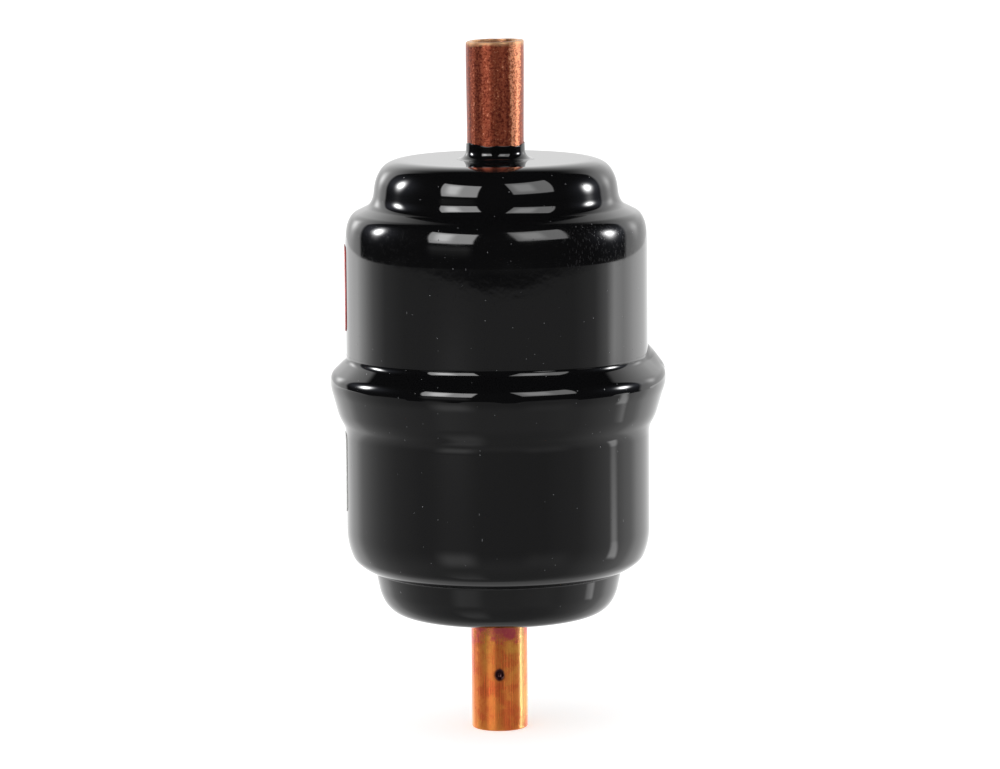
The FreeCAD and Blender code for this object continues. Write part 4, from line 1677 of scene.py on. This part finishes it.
@dataclass(frozen=True)
class SoftPanel:
    """A soft light as gloss shows it: a four-sided patch of the room, in degrees.

    Attributes:
        corners: Bearing and elevation of its corners, in order round it.
        level: Its brightness.
        edge: Width of its soft edge.
    """

    corners: tuple[Point, Point, Point, Point]
    level: float
    edge: float = 2.0


@dataclass(frozen=True)
class Haze:
    """A lamp or the glow round it, in degrees.

    Attributes:
        centre: Its bearing and elevation.
        reach: How far it reaches across and up.
        level: Its brightness.
        tint: Its colour.
    """

    centre: Point
    reach: Point
    level: float
    tint: Colour = (1.0, 1.0, 1.0)


@dataclass
class Studio:
    """Pale floor, even white room and the soft boxes that the gloss reflects. Bearing 0 is towards the camera.

    Attributes:
        ambient: Brightness of the even light on matt surfaces.
        floor_half: Half the floor's width in metres.
        panels: The windows, strips and patches that the gloss shows.
        glows: The lamps and the haze round them.
        skirting: Bearing and brightness of the room's floor close to its far edge.
        carpet: The same nearer to the object.
        far_edge: Elevations between which the room's floor ends.
        sag: How much that edge rises to the sides, for each square degree.
        rear: Bearings, counted from rear_turn, between which the pale rear wall starts.
        rear_turn: How far the room is turned.
        peak: Brightness that a stop's full white stands for.
        lamp_place: Where the broad lamp hangs, in metres.
        lamp_size: Its width and height.
        lamp_power: Its power in watts.
    """

    ambient: float = 0.86
    floor_half: float = 12.0
    panels: tuple[SoftPanel, ...] = (
        SoftPanel(((-53, 12), (-61, 43), (-16, 42), (-18, 13)), 5.6),
        SoftPanel(((-48, 16), (-53, 39), (-37, 39), (-37, 16)), 5.5, 9.0),
        SoftPanel(((-52, 0), (-53, 8), (-20, 8), (-20, 0)), 0.3, 7.0),
        SoftPanel(((17, 18), (11, 50), (65, 51), (58, 18)), 3.0),
        SoftPanel(((22, 24), (18, 46), (40, 46), (40, 24)), 2.0, 9.0),
        SoftPanel(((95, -9), (101, -9), (108, -26), (97, -26)), 2.2, 5.0),
        SoftPanel(((-46, -15), (-20, -15), (-20, -33), (-46, -33)), 0.6, 16.0),
        SoftPanel(((-52, -50), (-18, -50), (-18, -68), (-52, -68)), 0.35, 20.0),
        SoftPanel(((22, -15), (54, -15), (54, -33), (22, -33)), 0.12, 16.0),
    )
    glows: tuple[Haze, ...] = (
        Haze((-107, 18), (4.6, 6.2), 42.0),
        Haze((99, 14), (5.0, 5.4), 42.0),
        Haze((-107, 19), (17, 12), 0.6, (0.80, 0.84, 1.0)),
        Haze((102, 14), (17, 12), 0.6, (0.80, 0.84, 1.0)),
        Haze((-145, 10), (6, 8), 2.4),
        Haze((134, 9), (6, 8), 1.6),
        Haze((-33, -8.3), (14, 1.0), 0.18),
    )
    skirting: tuple[Point, ...] = (
        (-180, 1.4), (-150, 1.5), (-132, 2.2), (-120, 1.65), (-108, 0.85), (-94, 0.4), (-75, 0.27), (60, 0.27),
        (80, 0.45), (92, 1.15), (101, 2.9), (112, 2.05), (127, 2.2), (149, 1.6), (180, 1.4),
    )
    carpet: tuple[Point, ...] = (
        (-180, 1.35), (-136, 1.35), (-125, 0.9), (-100, 0.53), (-84, 0.36), (-60, 0.26), (35, 0.22), (65, 0.33),
        (90, 0.66), (112, 1.0), (120, 1.0), (130, 1.4), (180, 1.35),
    )
    far_edge: Point = (-7.02, -6.92)
    sag: float = 0.00007
    rear: Point = (119.0, 124.0)
    rear_turn: float = 5.0
    peak: float = 4.0
    lamp_place: tuple[float, float, float] = (-0.7, -0.9, 1.0)
    lamp_size: Point = (0.9, 0.7)
    lamp_power: float = 3.0

    def mask(self, g: Graph, spot: Socket, panel: SoftPanel) -> Socket:
        """How far inside a panel a direction lies.

        Args:
            g: The world's graph.
            spot: Bearing, elevation and 1 as a vector.
            panel: The panel.

        Returns:
            1 inside and 0 outside.
        """
        middle = np.mean(panel.corners, axis=0)
        found: Socket | None = None
        for index, start in enumerate(panel.corners):
            end = panel.corners[(index + 1) % 4]
            normal = np.array((-(end[1] - start[1]), end[0] - start[0]), float)
            normal /= np.linalg.norm(normal)
            if normal @ (middle - np.array(start)) < 0:
                normal = -normal
            plane = (float(normal[0]), float(normal[1]), -float(normal @ np.array(start)))
            distance = g.vector("DOT_PRODUCT", spot, plane).outputs["Value"]
            step = g.ramp(distance, -panel.edge / 2, panel.edge / 2)
            found = step if found is None else g.times(found, step)
        return found

    def glow(self, g: Graph, bearing: Socket, lift: Socket, haze: Haze) -> Socket:
        """A soft hill of light round a direction.

        Args:
            g: The world's graph.
            bearing: Bearing in degrees.
            lift: Elevation in degrees.
            haze: The glow.

        Returns:
            1 at its centre, falling to 0.
        """
        across = g.over(g.minus(bearing, haze.centre[0]), haze.reach[0])
        up = g.over(g.minus(lift, haze.centre[1]), haze.reach[1])
        square = g.plus(g.times(across, across), g.times(up, up))
        return g.math("EXPONENT", g.times(square, -1.0))

    def room(self) -> None:
        """Builds the world: even light for matt surfaces, the soft boxes for gloss and white for the camera."""
        world = bpy.data.worlds.new("studio")
        bpy.context.scene.world = world
        world.use_nodes = True
        world.node_tree.nodes.clear()
        world.cycles.sampling_method = "NONE"
        g = Graph(world.node_tree)
        direction = g.add("ShaderNodeTexCoord").outputs["Generated"]
        x, y, z = g.split(g.vector("NORMALIZE", direction).outputs[0])
        degrees = 180 / math.pi
        bearing = g.times(g.math("ARCTAN2", x, g.times(y, -1.0)), degrees)
        lift = g.times(g.math("ARCSINE", z), degrees)
        spot = g.join(bearing, lift, 1.0)
        light = self.backdrop(g, bearing, lift)
        for panel in self.panels:
            light = self.lit(g, light, (panel.level,) * 3, self.mask(g, spot, panel))
        for haze in self.glows:
            colour = tuple(haze.level * part for part in haze.tint)
            light = self.lit(g, light, colour, self.glow(g, bearing, lift, haze))
        path = g.add("ShaderNodeLightPath").outputs
        shiny = g.add("ShaderNodeBackground", {"Color": light, "Strength": 1.0}).outputs[0]
        even = g.add("ShaderNodeBackground", {"Color": (1, 1, 1, 1), "Strength": self.ambient}).outputs[0]
        white = g.add("ShaderNodeBackground", {"Color": (1, 1, 1, 1), "Strength": 1.0}).outputs[0]
        first = g.add("ShaderNodeMixShader", {0: path["Is Glossy Ray"], 1: even, 2: shiny}).outputs[0]
        second = g.add("ShaderNodeMixShader", {0: path["Is Camera Ray"], 1: first, 2: white}).outputs[0]
        g.add("ShaderNodeOutputWorld", {"Surface": second})

    def lit(self, g: Graph, light: Socket, colour: tuple[float, ...], share: Socket) -> Socket:
        """Adds a coloured light where its share says."""
        scaled = g.add("ShaderNodeVectorMath", {0: colour, "Scale": share}, operation="SCALE").outputs[0]
        return g.vector("ADD", light, scaled).outputs[0]

    def by_bearing(self, g: Graph, bearing: Socket, stops: Sequence[Point]) -> Socket:
        """A brightness that changes with the bearing.

        Args:
            g: The world's graph.
            bearing: Bearing in degrees.
            stops: Bearings and the brightness at each.

        Returns:
            The brightness.
        """
        node = g.add("ShaderNodeValToRGB", {"Fac": g.over(g.plus(bearing, 180.0), 360.0)})
        points = node.color_ramp.elements
        while len(points) > 1:
            points.remove(points[-1])
        for index, (angle, level) in enumerate(stops):
            stop = points[0] if index == 0 else points.new((angle + 180.0) / 360.0)
            stop.position = (angle + 180.0) / 360.0
            stop.color = (*(level / self.peak,) * 3, 1.0)
        return g.times(g.split(node.outputs["Color"])[0], self.peak)

    def backdrop(self, g: Graph, bearing: Socket, lift: Socket) -> Socket:
        """The room without its lamps: dark in front, pale behind, with a grey floor under the horizon.

        Args:
            g: The world's graph.
            bearing: Bearing in degrees.
            lift: Elevation in degrees.

        Returns:
            The room's colour.
        """
        sag = g.times(g.times(bearing, bearing), self.sag)
        above = g.ramp(g.minus(lift, sag), *self.far_edge)
        aside = g.math("ABSOLUTE", g.plus(bearing, self.rear_turn))
        rear = g.ramp(g.minus(aside, g.times(lift, 0.15)), *self.rear)
        high = g.times(g.ramp(lift, 58.0, 22.0), g.ramp(lift, 3.0, 12.0, 1.08, 1.36))
        wall = g.times(rear, high)
        front = g.times(g.ramp(lift, 62.0, 20.0), 0.01)
        upper = g.times(g.plus(wall, front), above)
        close = self.by_bearing(g, bearing, self.skirting)
        far = g.times(self.by_bearing(g, bearing, self.carpet), g.ramp(lift, -60.0, -9.0, 0.35, 1.0))
        far = g.plus(far, g.ramp(lift, -12.0, -40.0, 0.0, 0.2))
        rise = g.ramp(lift, -8.8, -7.5)
        floor = g.plus(g.times(close, rise), g.times(far, g.minus(1.0, rise)))
        lower = g.times(floor, g.minus(1.0, above))
        level = g.plus(upper, lower)
        return g.join(level, level, level)

    def floor(self) -> bpy.types.Object:
        """Lays the pale floor under the stub's rim, hidden from gloss so that the room's own floor shows there.

        Returns:
            The floor's object.
        """
        half = self.floor_half
        mesh = bpy.data.meshes.new("floor")
        mesh.from_pydata([(-half, -half, 0), (half, -half, 0), (half, half, 0), (-half, half, 0)], [], [(0, 1, 2, 3)])
        mesh.materials.append(StudioFloor().material())
        floor = new_object("floor", mesh)
        floor.visible_glossy = False
        return floor

    def lamp(self) -> None:
        """Hangs one broad lamp, for the direction of matt shading and shadow."""
        data = bpy.data.lights.new("key", "AREA")
        data.shape = "RECTANGLE"
        data.size, data.size_y = self.lamp_size
        data.energy = self.lamp_power
        lamp = new_object("key", data)
        lamp.location = self.lamp_place
        lamp.rotation_euler = (Vector((0, 0, 0.05)) - lamp.location).to_track_quat("-Z", "Y").to_euler()
        lamp.visible_glossy = False

    def build(self) -> None:
        """Builds the studio."""
        self.room()
        self.floor()
        self.lamp()
        bpy.context.scene.view_settings.view_transform = "Standard"


@dataclass
class Viewpoint:
    """The camera at the photograph's viewing angle, in millimetres and degrees, its clip range in metres."""

    target: tuple[float, float, float] = (0.37, 0.0, 48.83)
    distance: float = 690.0
    elevation: float = 8.07
    roll: float = -0.45
    focal: float = 176.98
    clip: Point = (0.02, 100.0)

    def build(self) -> bpy.types.Object:
        """Places the camera.

        Returns:
            The camera's object.
        """
        data = bpy.data.cameras.new("camera")
        data.sensor_width = 36.0
        data.lens = self.focal
        camera = new_object("camera", data)
        lift = math.radians(self.elevation)
        back = Vector((0.0, -math.cos(lift), math.sin(lift)))
        camera.location = (Vector(self.target) + back * self.distance) * MM
        aim = (-back).to_track_quat("-Z", "Y").to_matrix()
        camera.rotation_euler = (aim @ Matrix.Rotation(math.radians(self.roll), 3, "Z")).to_euler()
        data.clip_start, data.clip_end = self.clip
        bpy.context.scene.camera = camera
        return camera


def main() -> None:
    """Loads the frame, builds each sub-assembly and sets the studio and the camera."""
    logging.basicConfig(level=logging.INFO, format="%(name)s: %(message)s")
    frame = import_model()
    Viewpoint().build()
    Studio().build()
    paint = BlackPaint().material()
    can = Can(paint=paint)
    can.build(CanPart.INLET)
    can.build(CanPart.OUTLET)
    SeamWeld(paint=paint).build()
    collars = BrazeCollars(paint=paint)
    collars.build(CanPart.INLET)
    collars.build(CanPart.OUTLET)
    stubs = CopperStubs()
    stubs.inlet(AgedCopper().material())
    stubs.outlet(BrightCopper().material())
    Labels().dress()
    FilterPack().dress(frame["nodes"])


if __name__ == "__main__":
    main()
